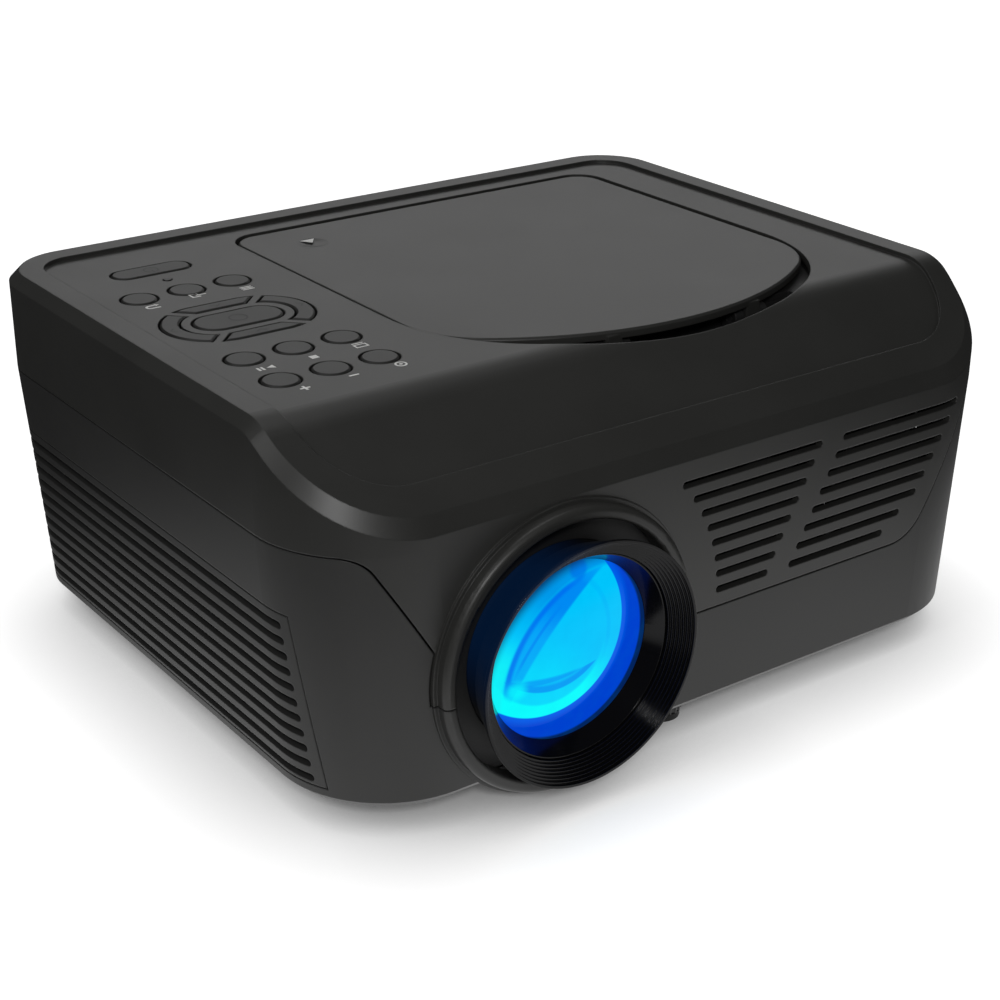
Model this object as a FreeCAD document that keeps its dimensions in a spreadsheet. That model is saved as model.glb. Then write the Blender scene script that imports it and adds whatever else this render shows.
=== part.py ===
import FreeCAD, Part
import math
import os
import Sketcher

# Desktop video projector with a top-loading disc player.
# Millimetres. +Z up, the lens looks along -Y, +X is to the right seen from the lens side.
# The origin is on the surface it stands on, under the middle of the whole object.

doc = FreeCAD.newDocument("DiscProjector")
sheet = doc.addObject("Spreadsheet::Sheet", "Sizes")
Vector = FreeCAD.Vector
pieces = []


# ---------------------------------------------------------------- sizes and formulas

class Size:
    """A value in mm or degrees that keeps the formula it comes from."""

    def __init__(self, value, formula):
        self.value = float(value)
        self.formula = formula

    def __add__(self, other):
        other = sized(other)
        return Size(self.value + other.value, f"({self.formula} + {other.formula})")

    def __sub__(self, other):
        other = sized(other)
        return Size(self.value - other.value, f"({self.formula} - {other.formula})")

    def __mul__(self, other):
        other = sized(other)
        return Size(self.value * other.value, f"({self.formula} * {other.formula})")

    def __truediv__(self, other):
        other = sized(other)
        return Size(self.value / other.value, f"({self.formula} / {other.formula})")

    def __radd__(self, other):
        return sized(other) + self

    def __rsub__(self, other):
        return sized(other) - self

    def __rmul__(self, other):
        return sized(other) * self

    def __neg__(self):
        return Size(-self.value, f"(0 - {self.formula})")


def sized(amount):
    """A plain number becomes a Size whose formula is the number itself."""
    if isinstance(amount, Size):
        return amount
    return Size(amount, f"({float(amount)!r})")


def sine(angle):
    angle = sized(angle)
    return Size(math.sin(math.radians(angle.value)), f"sin({angle.formula})")


def cosine(angle):
    angle = sized(angle)
    return Size(math.cos(math.radians(angle.value)), f"cos({angle.formula})")


def tangent(angle):
    angle = sized(angle)
    return Size(math.tan(math.radians(angle.value)), f"tan({angle.formula})")


def root(amount):
    return Size(math.sqrt(amount.value), f"sqrt({amount.formula})")


def size(name, value):
    """Write one driving dimension into the sheet and return it."""
    row = size.rows = size.rows + 1
    sheet.set(f"A{row}", name)
    sheet.set(f"B{row}", str(value))
    sheet.setAlias(f"B{row}", name)
    return Size(value, f"Sizes.{name}")


size.rows = 0


class Sizes:
    """Named sizes that belong together; each is also a row of the sheet."""

    def __init__(self, prefix, **values):
        for name, value in values.items():
            setattr(self, name, size(f"{prefix}_{name}", value))


def bind(item, path, amount):
    item.setExpression(path, sized(amount).formula)


# ---------------------------------------------------------------- solids

def put(item, x, y, z, axis=None, angle=0):
    """Turn an object about a fixed axis and bind its place to formulas."""
    if axis:
        item.Placement = FreeCAD.Placement(Vector(0, 0, 0), FreeCAD.Rotation(Vector(*axis), angle))
    for letter, amount in zip("xyz", (x, y, z)):
        bind(item, f"Placement.Base.{letter}", amount)
    return item


def block(x0, x1, y0, y1, z0, z1, name="Block"):
    """Box between two corners."""
    item = doc.addObject("Part::Box", name)
    bind(item, "Length", sized(x1) - x0)
    bind(item, "Width", sized(y1) - y0)
    bind(item, "Height", sized(z1) - z0)
    return put(item, x0, y0, z0)


turns = {"x": ((0, 1, 0), 90), "y": ((1, 0, 0), -90), "z": (None, 0)}


def rod(radius, length, x, y, z, along="z", name="Rod"):
    """Cylinder from a point, running in the positive direction of an axis."""
    item = doc.addObject("Part::Cylinder", name)
    bind(item, "Radius", radius)
    bind(item, "Height", length)
    axis, angle = turns[along]
    return put(item, x, y, z, axis, angle)


def ball(radius, x, y, z):
    item = doc.addObject("Part::Sphere", "Ball")
    bind(item, "Radius", radius)
    return put(item, x, y, z)


def fuse(*shapes, name="Fuse"):
    item = doc.addObject("Part::MultiFuse", name)
    item.Shapes = list(shapes)
    return item


def group(*shapes, name="Group"):
    """Separate solids kept together in one object."""
    item = doc.addObject("Part::Compound", name)
    item.Links = list(shapes)
    return item


def cut(base, *tools, name="Cut"):
    item = doc.addObject("Part::Cut", name)
    item.Base = base
    item.Tool = tools[0] if len(tools) == 1 else fuse(*tools)
    return item


def common(first, second, name="Common"):
    item = doc.addObject("Part::Common", name)
    item.Base = first
    item.Tool = second
    return item


def piece(label, item):
    """Register a finished sub-part under the name of its file."""
    item.Label = label
    pieces.append(item)
    return item


# ---------------------------------------------------------------- outlines

def draw(sketch, loops):
    """Fill a sketch with closed loops and fix every corner with formulas.

    A corner is (x, y), reached by a line, or (x, y, centre x, centre y, turn), reached by an
    arc that runs anticlockwise for turn 1 and clockwise for turn -1.
    """
    for loop in loops:
        ends = []
        for here, before in zip(loop, [loop[-1]] + loop[:-1]):
            start = Vector(sized(before[0]).value, sized(before[1]).value, 0)
            finish = Vector(sized(here[0]).value, sized(here[1]).value, 0)
            if len(here) == 2:
                line = sketch.addGeometry(Part.LineSegment(start, finish), False)
                ends.append((line, 1, 2))
                continue
            centre = Vector(sized(here[2]).value, sized(here[3]).value, 0)
            circle = Part.Circle(centre, Vector(0, 0, 1), (finish - centre).Length)
            first, last = (start, finish) if here[4] > 0 else (finish, start)
            arc = Part.ArcOfCircle(circle, circle.parameter(first), circle.parameter(last))
            number = sketch.addGeometry(arc, False)
            ends.append((number, 1, 2) if here[4] > 0 else (number, 2, 1))
            chord = finish - start
            if abs(chord.y) > abs(chord.x):
                fix(sketch, "DistanceX", number, 3, here[2])
            else:
                fix(sketch, "DistanceY", number, 3, here[3])
        for here, this, after in zip(loop, ends, ends[1:] + ends[:1]):
            sketch.addConstraint(Sketcher.Constraint("Coincident", this[0], this[2], after[0], after[1]))
            fix(sketch, "DistanceX", this[0], this[2], here[0])
            fix(sketch, "DistanceY", this[0], this[2], here[1])


def fix(sketch, kind, number, point, amount):
    """Hold one coordinate of a sketch point at a formula."""
    amount = sized(amount)
    index = sketch.addConstraint(Sketcher.Constraint(kind, number, point, amount.value))
    sketch.setExpression(f"Constraints[{index}]", amount.formula)


frames = {"XY": (None, 0), "XZ": ((1, 0, 0), 90), "YZ": ((1, 1, 1), 120)}


def sketch_at(loops, plane, level, name="Outline"):
    """Sketch on a plane parallel to two axes, at a level along the third."""
    item = doc.addObject("Sketcher::SketchObject", name)
    axis, angle = frames[plane]
    spot = {"XY": (0, 0, level), "XZ": (0, level, 0), "YZ": (level, 0, 0)}[plane]
    put(item, *spot, axis, angle)
    draw(item, loops)
    return item


def prism(loops, plane, start, length, name="Prism"):
    """Outline carried a length along the positive third axis."""
    item = doc.addObject("Part::Extrusion", name)
    item.Base = sketch_at(loops, plane, start)
    item.DirMode = "Normal"
    item.Solid = True
    item.Reversed = plane == "XZ"
    bind(item, "LengthFwd", length)
    return item


def body_plane(body, role):
    for plane in body.Origin.OriginFeatures:
        if plane.Role == role:
            return plane
    raise LookupError(role)


def turned(loop, x, y, z, along="z", name="Turned"):
    """Solid of revolution as a body: corners are (radius, distance along the axis)."""
    body = doc.addObject("PartDesign::Body", name)
    sketch = body.newObject("Sketcher::SketchObject", name + "Profile")
    sketch.AttachmentSupport = [(body_plane(body, "XZ_Plane"), "")]
    sketch.MapMode = "FlatFace"
    draw(sketch, [loop])
    spin = body.newObject("PartDesign::Revolution", name + "Turn")
    spin.Profile = sketch
    spin.ReferenceAxis = (sketch, ["V_Axis"])
    spin.Angle = 360
    body.Tip = spin
    axis, angle = {"z": (None, 0), "front": ((1, 0, 0), 90), "y": ((1, 0, 0), -90)}[along]
    return put(body, x, y, z, axis, angle)


def padded(loops, level, height, name="Padded"):
    """Flat plate as a body: an XY outline padded upwards from a level."""
    body = doc.addObject("PartDesign::Body", name)
    sketch = body.newObject("Sketcher::SketchObject", name + "Profile")
    sketch.AttachmentSupport = [(body_plane(body, "XY_Plane"), "")]
    sketch.MapMode = "FlatFace"
    draw(sketch, loops)
    pad = body.newObject("PartDesign::Pad", name + "Pad")
    pad.Profile = sketch
    bind(pad, "Length", height)
    body.Tip = pad
    return put(body, 0, 0, level)


def rectangle(x0, x1, y0, y1):
    return [(x1, y0), (x1, y1), (x0, y1), (x0, y0)]


def rounded(x0, x1, y0, y1, r0, r1):
    """Rectangle with corner radius r0 along its y0 edge and r1 along its y1 edge."""
    return [(x1 - r0, y0), (x1, y0 + r0, x1 - r0, y0 + r0, 1),
            (x1, y1 - r1), (x1 - r1, y1, x1 - r1, y1 - r1, 1),
            (x0 + r1, y1), (x0, y1 - r1, x0 + r1, y1 - r1, 1),
            (x0, y0 + r0), (x0 + r0, y0, x0 + r0, y0 + r0, 1)]


def stadium(x, y, reach, radius):
    """Slot outline: two half circles whose centres lie reach to each side in x."""
    x, y = sized(x), sized(y)
    return [(x + reach, y - radius), (x + reach, y + radius, x + reach, y, 1),
            (x - reach, y + radius), (x - reach, y - radius, x - reach, y, 1)]


def ring_loop(r0, r1, z0, z1):
    """Tube section for a solid of revolution."""
    return [(r1, z0), (r1, z1), (r0, z1), (r0, z0)]


# ---------------------------------------------------------------- driving dimensions

case_width = size("case_width", 246)
overall_depth = size("overall_depth", 210)
overall_height = size("overall_height", 113)
lens_stand_out = size("lens_stand_out", 13.5)
ground_gap = size("ground_gap", 8.5)
wall = size("wall", 2.5)
front_corner = size("front_corner", 33)
seam_depth = size("seam_depth", 14.85)
rear_corner = size("rear_corner", 22)
side_draft = size("side_draft", 5)
rear_draft = size("rear_draft", 2)
bottom_bevel = size("bottom_bevel", 2.5)
top_bevel = size("top_bevel", 3.2)
rim_width = size("rim_width", 10.5)
rim_step = size("rim_step", 1.2)
bend_setback = size("bend_setback", 33.5)
bend_angle = size("bend_angle", 35)
bend_round = size("bend_round", 18)
seam_height = size("seam_height", 83)
seam_gap = size("seam_gap", 0.5)
front_seam = size("front_seam", 39)
front_seam_reach = size("front_seam_reach", 108.5)
seam_angle = size("seam_angle", 59)
seam_top_round = size("seam_top_round", 9)
seam_low_round = size("seam_low_round", 14)

lid_x = size("lid_x", 22.3)
lid_half = size("lid_half", 71.7)
lid_rear_inset = size("lid_rear_inset", 19.3)
lid_front_inset = size("lid_front_inset", 35.2)
lid_thick = size("lid_thick", 2.5)
lid_drop = size("lid_drop", 0.4)
lid_gap = size("lid_gap", 1.0)
lid_front_round = size("lid_front_round", 104)
lid_corner_round = size("lid_corner_round", 28)
lid_rear_round = size("lid_rear_round", 8.5)
opening_lead = size("opening_lead", 5.8)
opening_front_round = size("opening_front_round", 150)
opening_corner_round = size("opening_corner_round", 52)
hinge_setback = size("hinge_setback", 6.1)
hinge_drop = size("hinge_drop", 6.2)
hinge_offset = size("hinge_offset", 26)
hinge_pin = size("hinge_pin", 1.25)
hinge_boss = size("hinge_boss", 3.3)
lug_width = size("lug_width", 5)
running_gap = size("running_gap", 0.05)
side_gap = size("side_gap", 0.3)

disc_y = size("disc_y", 18.5)
well_round = size("well_round", 61.5)
well_depth = size("well_depth", 10.3)
tray_wall = size("tray_wall", 2)

lens_x = size("lens_x", -49.9)
lens_z = size("lens_z", 43)
barrel_lip = size("barrel_lip", 35.2)
barrel_tube = size("barrel_tube", 29.5)
collar_bore = size("collar_bore", 37.5)
collar_ring = size("collar_ring", 41.3)

keys_x = size("keys_x", -84.6)
key_pitch = size("key_pitch", 15.3)
key_hole = size("key_hole", 5.85)
key_gap = size("key_gap", 0.65)
key_proud = size("key_proud", 0.25)

front = lens_stand_out - overall_depth / 2
rear = overall_depth / 2
half = case_width / 2
panel_top = overall_height - rim_step
ceiling = panel_top - wall
floor_top = ground_gap + wall
bend = front + bend_setback
lid_top = panel_top - lid_drop
lid_under = lid_top - lid_thick
lid_rear = rear - lid_rear_inset
lid_front = front + lid_front_inset
margin = 5
over = size("over", 1)


# ---------------------------------------------------------------- case envelope

def top_profile(drop):
    """Side view of everything below the top surface, lowered square to itself by drop."""
    radius = bend_round - drop
    touch = radius * tangent(bend_angle / 2)
    corner = bend + drop * tangent(bend_angle / 2)
    level = overall_height - drop
    nose = front - margin
    base = front_seam - margin
    return [(nose, base), (rear + margin, base), (rear + margin, level), (corner + touch, level),
            (corner - touch * cosine(bend_angle), level - touch * sine(bend_angle),
             corner + touch, level - radius, 1),
            (nose, level - (corner - nose) * tangent(bend_angle))]


def under_top(drop, name="UnderTop"):
    return prism([top_profile(drop)], "YZ", -half - margin, case_width + 2 * margin, name)


def plan(inset, front_inset=0, rear_inset=0):
    """Plan outline of the case, drawn in by inset on every side."""
    return rounded(-half + inset, half - inset, front + inset + front_inset, rear - inset - rear_inset,
                   front_corner - inset, rear_corner - inset)


def lower_plan(inset):
    """Plan outline at the foot of the drafted lower walls."""
    reach = half - side_draft - inset
    return rounded(-reach, reach, front + inset, rear - rear_draft - inset,
                   front_corner - inset, rear_corner - inset)


def loft(*outlines, name="Loft"):
    """Ruled solid through plan outlines at given levels."""
    item = doc.addObject("Part::Loft", name)
    item.Sections = [sketch_at([loop], "XY", level) for loop, level in outlines]
    item.Solid = True
    item.Ruled = True
    return item


def rim_edges(shape, above):
    """Numbers of the edges where the top surface meets the upright walls."""
    found = []
    for number, edge in enumerate(shape.Edges, 1):
        if edge.BoundBox.ZMin < above:
            continue
        upright = []
        for face in shape.ancestorsOfType(edge, Part.Face):
            spot = edge.valueAt((edge.FirstParameter + edge.LastParameter) / 2)
            u, v = face.Surface.parameter(spot)
            upright.append(abs(face.normalAt(u, v).z) < 1e-6)
        if sorted(upright) == [False, True]:
            found.append(number)
    return found


def bevelled(base, above, width, name="Bevel"):
    """Bevel round the rim of a solid."""
    base.recompute(True)
    item = doc.addObject("Part::Chamfer", name)
    item.Base = base
    item.Edges = [(number, width.value, width.value) for number in rim_edges(base.Shape, above.value)]
    return item


upper_walls = prism([plan(0)], "XY", seam_height, overall_height - seam_height + margin)
upper_block = bevelled(common(upper_walls, under_top(0)), seam_height + over, top_bevel)
lower_block = loft((plan(0), seam_height), (lower_plan(0), ground_gap + bottom_bevel),
                   (lower_plan(bottom_bevel), ground_gap))
upper_room = common(prism([plan(wall)], "XY", seam_height, overall_height - seam_height),
                    under_top(rim_step + wall))
lower_room = loft((plan(wall), seam_height), (lower_plan(wall), floor_top))
shell = cut(fuse(upper_block, lower_block), fuse(upper_room, lower_room), name="CaseShell")


# ---------------------------------------------------------------- seam between the case halves

def seam_loop(gap):
    """Front view of the apron of the upper case, lowered square to itself by gap."""
    turn = tangent(seam_angle / 2)
    high = seam_height - gap
    low = front_seam - gap
    wide = front_seam_reach + gap * turn
    narrow = front_seam_reach - (seam_height - front_seam) / tangent(seam_angle) + gap * turn
    top_round = seam_top_round - gap
    low_round = seam_low_round + gap
    top_touch = top_round * turn
    low_touch = low_round * turn
    run, fall = cosine(seam_angle), sine(seam_angle)
    return [(narrow - low_touch, low),
            (narrow + low_touch * run, low + low_touch * fall, narrow - low_touch, low + low_round, 1),
            (wide - top_touch * run, high - top_touch * fall),
            (wide + top_touch, high, wide + top_touch, high - top_round, -1),
            (wide + top_touch, high + over), (-wide - top_touch, high + over), (-wide - top_touch, high),
            (-wide + top_touch * run, high - top_touch * fall, -wide - top_touch, high - top_round, -1),
            (-narrow - low_touch * run, low + low_touch * fall),
            (-narrow + low_touch, low, -narrow + low_touch, low + low_round, 1)]


def above_seam(gap):
    """Everything that belongs to the upper case."""
    apron = prism([seam_loop(gap)], "XZ", front - margin, seam_depth + margin)
    slab = block(-half - margin, half + margin, front - margin, rear + margin,
                 seam_height - gap, overall_height + margin)
    return fuse(slab, apron)


# ---------------------------------------------------------------- disc lid outline

def lid_loop(half_width, back, apex, front_round, corner_round, rear_round, grow=0):
    """Plan outline: straight sides and back, a wide front arc and two blending arcs."""
    across = half_width - corner_round
    apart = front_round - corner_round
    big_y = apex + front_round
    corner_y = big_y - root(apart * apart - across * across)
    reach = (front_round + grow) / apart
    touch_x = across * reach
    touch_y = big_y - (big_y - corner_y) * reach
    side = half_width + grow
    end = back + grow
    corner = rear_round + grow
    x = lid_x
    return [(x + touch_x, touch_y, x, big_y, 1), (x + side, corner_y, x + across, corner_y, 1),
            (x + side, end - corner), (x + side - corner, end, x + side - corner, end - corner, 1),
            (x - side + corner, end), (x - side, end - corner, x - side + corner, end - corner, 1),
            (x - side, corner_y), (x - touch_x, touch_y, x - across, corner_y, 1)]


def lid_plan(grow):
    return lid_loop(lid_half, lid_rear, lid_front, lid_front_round, lid_corner_round,
                    lid_rear_round, grow)


def opening_plan(grow):
    return lid_loop(lid_half + lid_gap, lid_rear + lid_gap, lid_front - opening_lead,
                    opening_front_round, opening_corner_round, lid_rear_round + lid_gap, grow)


# ---------------------------------------------------------------- key layout

power_y = size("power_y", 70.2)
lamp_y = size("lamp_y", 59.2)
upper_row_y = size("upper_row_y", 47.2)
pad_y = size("pad_y", 16)
middle_row_y = size("middle_row_y", -14.6)
lower_row_y = size("lower_row_y", -34)
power_reach = size("power_reach", 8.3)
power_radius = size("power_radius", 5)
pad_reach = size("pad_reach", 7)
pad_radius = size("pad_radius", 16.3)
ring_outer = size("ring_outer", 9.8)
ring_inner = size("ring_inner", 7.2)
rib_width = size("rib_width", 2.2)
lamp_radius = size("lamp_radius", 1.5)
key_board_drop = size("key_board_drop", 11.6)
key_board_thick = size("key_board_thick", 1.6)

board_top = panel_top - key_board_drop
key_top = panel_top + key_proud
round_keys = {
    "key_return": (-1, upper_row_y), "key_source": (0, upper_row_y), "key_menu": (1, upper_row_y),
    "key_play": (-1, middle_row_y), "key_stop": (0, middle_row_y), "key_title": (1, middle_row_y),
    "key_volume_up": (-1, lower_row_y), "key_volume_down": (0, lower_row_y), "key_setup": (1, lower_row_y),
}
pad_keys = {"key_right": 0, "key_up": 90, "key_left": 180, "key_down": 270}


def diagonal_bar(width, angle, low, high):
    """Bar through the middle of the pad at an angle, used for its ribs and their slots."""
    length = 4 * pad_radius
    bar = block(-length / 2, length / 2, -width / 2, width / 2, low, high, "PadBar")
    carrier = doc.addObject("Part::Compound", "PadBarTurned")
    carrier.Links = [bar]
    return put(carrier, keys_x, pad_y, 0, (0, 0, 1), angle)


def through(loop, low, high):
    """Upright prism between two levels."""
    return prism([loop], "XY", low, high - low, "Through")


# ---------------------------------------------------------------- upper case

vent = Sizes("vent", top=79.43, pitch=5.05, height=2.1, lean=2.64, split=42.2, bar=8.2, right=99.3,
             right_lean=3.2, corner_lean=3.4, ring=54)
vent_rows = 8
post = Sizes("post", radius=4, side=19, split=40, front=41.5, rear=21, hole=1.5, depth=13)
stay = Sizes("stay", radius=2, x=23, front=-42, rear=60)
lip = Sizes("lip", drop=3, rise=4, clear=0.6, thick=1.3)
collar_size = Sizes("collar", skirt=1.2, face=0.8, shoulder=2.8, nose=4.5, round=1.7, lead=1.0)
fit_gap = size("fit_gap", 0.3)

wall_band = wall + 2 * over
post_spots = [(side * (half - post.side), y)
              for side in (-1, 1) for y in (front + post.front, rear - post.rear)]
stay_spots = [(keys_x + side * stay.x, y) for side in (-1, 1) for y in (stay.front, stay.rear)]


def vent_slot(x0, x1, z):
    """One round-ended slot through the front wall."""
    radius = vent.height / 2
    middle = (sized(x0) + x1) / 2
    reach = (sized(x1) - x0) / 2 - radius
    return prism([stadium(middle, z, reach, radius)], "XZ", front - over, wall_band, "VentSlot")


def front_vents():
    """Two groups of slots: the left one starts on an arc round the lens."""
    slots = []
    for row in range(vent_rows):
        z = vent.top - vent.pitch * row
        rise = z - lens_z
        start = lens_x + root(vent.ring * vent.ring - rise * rise)
        split = vent.split - vent.lean * row
        finish = vent.right - vent.right_lean * row - vent.corner_lean * max(0, row - 5)
        slots.append(vent_slot(start, split, z))
        slots.append(vent_slot(split + vent.bar, finish, z))
    return slots


def key_openings():
    low = ceiling - over
    high = overall_height + over
    holes = [rod(key_hole, high - low, keys_x + key_pitch * column, y, low)
             for column, y in round_keys.values()]
    holes.append(through(stadium(keys_x, power_y, power_reach, power_radius), low, high))
    holes.append(rod(lamp_radius, high - low, keys_x, lamp_y, low))
    field = through(stadium(keys_x, pad_y, pad_reach, pad_radius), low, high)
    ring = cut(through(stadium(keys_x, pad_y, pad_reach, ring_outer), low, high),
               through(stadium(keys_x, pad_y, pad_reach, ring_inner), low, high))
    bars = [diagonal_bar(rib_width, angle, low, high) for angle in (45, -45)]
    middle = through(stadium(keys_x, pad_y, pad_reach, ring_inner), low, high)
    ribs = cut(fuse(*bars), middle)
    holes.append(cut(field, ring, ribs))
    return holes


def collar():
    """Stepped ring on the front wall, given by distance in front of that wall."""
    size_of = collar_size
    skirt = collar_ring + size_of.skirt
    bead = collar_ring - size_of.round
    lead = collar_bore + size_of.lead
    loop = [(skirt, -wall), (skirt, size_of.face), (collar_ring, size_of.face),
            (collar_ring, size_of.shoulder),
            (bead, size_of.nose, bead, size_of.shoulder, 1), (lead, size_of.nose),
            (collar_bore, size_of.nose - size_of.lead, lead, size_of.nose - size_of.lead, 1),
            (collar_bore, -wall)]
    return turned(loop, lens_x, front, lens_z, "front", "Collar")


def seam_lip():
    """Tongue inside the side and rear walls that laps over the seam."""
    low = seam_height - lip.drop
    high = seam_height + lip.rise
    inner = plan(wall + lip.clear + lip.thick)
    tongue = cut(through(plan(wall + lip.clear), low, high), through(inner, low - over, high + over))
    root_ring = cut(through(plan(wall / 2), seam_height + over, high),
                    through(inner, low - over, high + over))
    return common(fuse(tongue, root_ring),
                  block(-half, half, front + front_corner, rear, low - over, high + over))


collar_ring_solid = collar()
upper_half = block(-half, half, front - margin, front + margin, front_seam, overall_height, "UpperHalf")
lower_half = block(-half, half, front - margin, front + margin, -1, front_seam - seam_gap, "LowerHalf")
lens_hole = rod(collar_bore, wall_band, lens_x, front - over, lens_z, "y", "LensHole")


def upper_case():
    recess = common(prism([plan(rim_width)], "XY", seam_height, overall_height),
                    cut(block(-half, half, front, rear, seam_height, overall_height + margin),
                        under_top(rim_step)))
    opening = through(opening_plan(0), seam_height + over, overall_height + margin)
    posts = [rod(post.radius, ceiling + over - post.split, x, y, post.split) for x, y in post_spots]
    stays = [rod(stay.radius, ceiling + over - board_top, x, y, board_top) for x, y in stay_spots]
    walls = cut(common(shell, above_seam(0)), recess, opening, lens_hole, group(*front_vents()),
                group(*key_openings()))
    ring = common(collar_ring_solid, upper_half)
    body = fuse(walls, ring, *posts, *stays, seam_lip())
    screw_holes = [rod(post.hole, post.depth + over, x, y, post.split - over) for x, y in post_spots]
    return cut(body, group(*screw_holes))


piece("upper_case", upper_case())


# ---------------------------------------------------------------- lower case and side grilles

grille = Sizes("grille", drop=20, foot=2.5, lead=23.5, lean=6.3, tail=5.7, pitch=4.4, slot=2.2, first=3.5,
               gap=0.4, border=3, reach=24, bar=3, bar_depth=1.4, bar_first=10, bar_pitch=25)
grille_rows = 11
grille_bars = 6
foot = Sizes("foot", x=-2.5, lead=14.5, wheel=6.5, shaft=3.5, boss=7, boss_rise=8, pad=6, pad_thick=2,
             pin=1.5, pin_top=5.5, wheel_low=2.3, notch=0.8)
rear_foot = Sizes("rear_foot", side=35, tail=21, radius=7, height=5, rim=1)
screw = Sizes("screw", shank=1.3, head=2.9, recess=3.2, clear=1.6, sink=0.6, low=9.1, length=40)
exhaust = Sizes("exhaust", reach=29, low=18, pitch=5, height=2.2)
exhaust_rows = 12
board = Sizes("board", stand_height=8, thick=1.6, stand=2, main_left=-4, main_right=58, main_lead=25.5,
              tail=7, power_left=62, power_right=96, power_lead=51.5, inset=3)
port = Sizes("port", hdmi_left=0, hdmi_right=15, hdmi_rise=5.6, usb_left=19.5, usb_right=33, usb_rise=6.8,
             av_left=38, av_right=56, av_rise=12, deep=15.1, tail=1.9, mouth=9)
inlet = Sizes("inlet", x=82, half=10, rise=17, up=9.4, reach=3.8, radius=4.4, depth=12, pin=1.2, pin_x=4.3,
              pin_length=9.5, pin_root=1)
skirt_depth = size("skirt_depth", 2)
grille_skin = wall * 0.8

board_low = floor_top + board.stand_height
board_face = board_low + board.thick
board_rear = rear - board.tail
main_front = front + board.main_lead
power_front = front + board.power_lead
port_rear = rear - port.tail
port_front = port_rear - port.deep
inlet_z = board_face + inlet.up
grille_top = seam_height - grille.drop
grille_bottom = floor_top + grille.foot
grille_lead = front + grille.lead
grille_tail = rear - grille.tail
foot_y = front + foot.lead
boss_top = floor_top + foot.boss_rise
rear_foot_x = half - rear_foot.side
rear_foot_y = rear - rear_foot.tail
rear_wall = rear - rear_draft - wall
port_spots = [(port.hdmi_left, port.hdmi_right, port.hdmi_rise),
              (port.usb_left, port.usb_right, port.usb_rise),
              (port.av_left, port.av_right, port.av_rise),
              (inlet.x - inlet.half, inlet.x + inlet.half, inlet.rise)]


def stand_spots():
    spots = []
    for left, right, near in ((board.main_left, board.main_right, main_front),
                              (board.power_left, board.power_right, power_front)):
        spots += [(x, y) for x in (left + board.inset, right - board.inset)
                  for y in (near + board.inset, board_rear - board.inset * 4)]
    return spots


def grille_front_at(z):
    return grille_lead - grille.lean * (grille_top - z) / (grille_top - grille_bottom)


def grille_region(side, grow):
    """Slanted window in a side wall, grown by a gap for the hole it fits."""
    low = grille_bottom - grow
    high = grille_top + grow
    loop = [(grille_tail + grow, low), (grille_tail + grow, high), (grille_front_at(high) - grow, high),
            (grille_front_at(low) - grow, low)]
    start = half - grille.reach if side > 0 else -half - margin
    return prism([loop], "YZ", start, grille.reach + margin, "GrilleRegion")


def side_grille(side):
    """Slotted panel in the line of the side wall, stiffened by bars behind it."""
    start = half - grille.reach if side > 0 else -half - margin
    radius = grille.slot / 2
    slots = []
    for row in range(grille_rows):
        z = grille_top - grille.first - grille.pitch * row
        low = grille_front_at(z) + grille.border
        high = grille_tail - grille.border
        slots.append(prism([stadium((low + high) / 2, z, (high - low) / 2 - radius, radius)], "YZ",
                           start, grille.reach + margin, "GrilleSlot"))
    strips = cut(common(lower_walls, grille_region(side, 0)), group(*slots))
    skin = cut(loft((plan(grille_skin), seam_height), (lower_plan(grille_skin), floor_top)),
               loft((plan(wall + grille.bar_depth), seam_height),
                    (lower_plan(wall + grille.bar_depth), floor_top)))
    bars = [block(start, start + grille.reach + margin,
                  grille_lead + grille.bar_first + grille.bar_pitch * number,
                  grille_lead + grille.bar_first + grille.bar_pitch * number + grille.bar, grille_bottom,
                  grille_top)
            for number in range(grille_bars)]
    return fuse(strips, common(skin, group(*bars)))


lower_walls = cut(shell, above_seam(seam_gap), name="LowerWalls")


def lower_case():
    deep = rear_draft + wall_band
    windows = [block(x0 - fit_gap, x1 + fit_gap, rear_wall - over, rear_wall + deep, board_face - fit_gap,
                     board_face + rise + fit_gap) for x0, x1, rise in port_spots]
    vents = [prism([stadium(lens_x, exhaust.low + exhaust.pitch * row, exhaust.reach,
                            exhaust.height / 2)], "XZ",
                   rear_wall - 1, deep, "ExhaustSlot") for row in range(exhaust_rows)]
    relief = common(rod(collar_ring + collar_size.skirt + fit_gap, wall_band, lens_x, front - over,
                        lens_z, "y"),
                    block(-half, half, front - margin, front + margin, front_seam - seam_gap,
                          overall_height))
    walls = cut(lower_walls, lens_hole, relief, grille_region(-1, grille.gap), grille_region(1, grille.gap),
                group(*windows), group(*vents))
    skirt = common(rod(collar_ring + collar_size.skirt, skirt_depth, lens_x, front + wall, lens_z, "y"),
                   block(-half, half, front, front + margin, 0, floor_top))
    posts = [rod(post.radius, post.split - seam_gap - ground_gap - over, x, y, ground_gap + over)
             for x, y in post_spots]
    stands = [rod(board.stand, board_low - ground_gap - over, x, y, ground_gap + over)
              for x, y in stand_spots()]
    pedestals = [rod(rear_foot.radius + rear_foot.rim, floor_top - rear_foot.height - over,
                     side * rear_foot_x,
                     rear_foot_y, rear_foot.height) for side in (-1, 1)]
    boss = rod(foot.boss, boss_top - ground_gap - over, foot.x, foot_y, ground_gap + over)
    body = fuse(walls, common(collar_ring_solid, lower_half), skirt, boss, *posts, *stands, *pedestals)
    holes = [rod(screw.clear, post.split, x, y, ground_gap - over) for x, y in post_spots]
    sinks = [rod(screw.recess, floor_top + screw.sink, x, y, 0) for x, y in post_spots]
    thread = rod(foot.shaft + running_gap, boss_top + over, foot.x, foot_y, 0)
    return cut(body, group(*holes), group(*sinks), thread)


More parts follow.
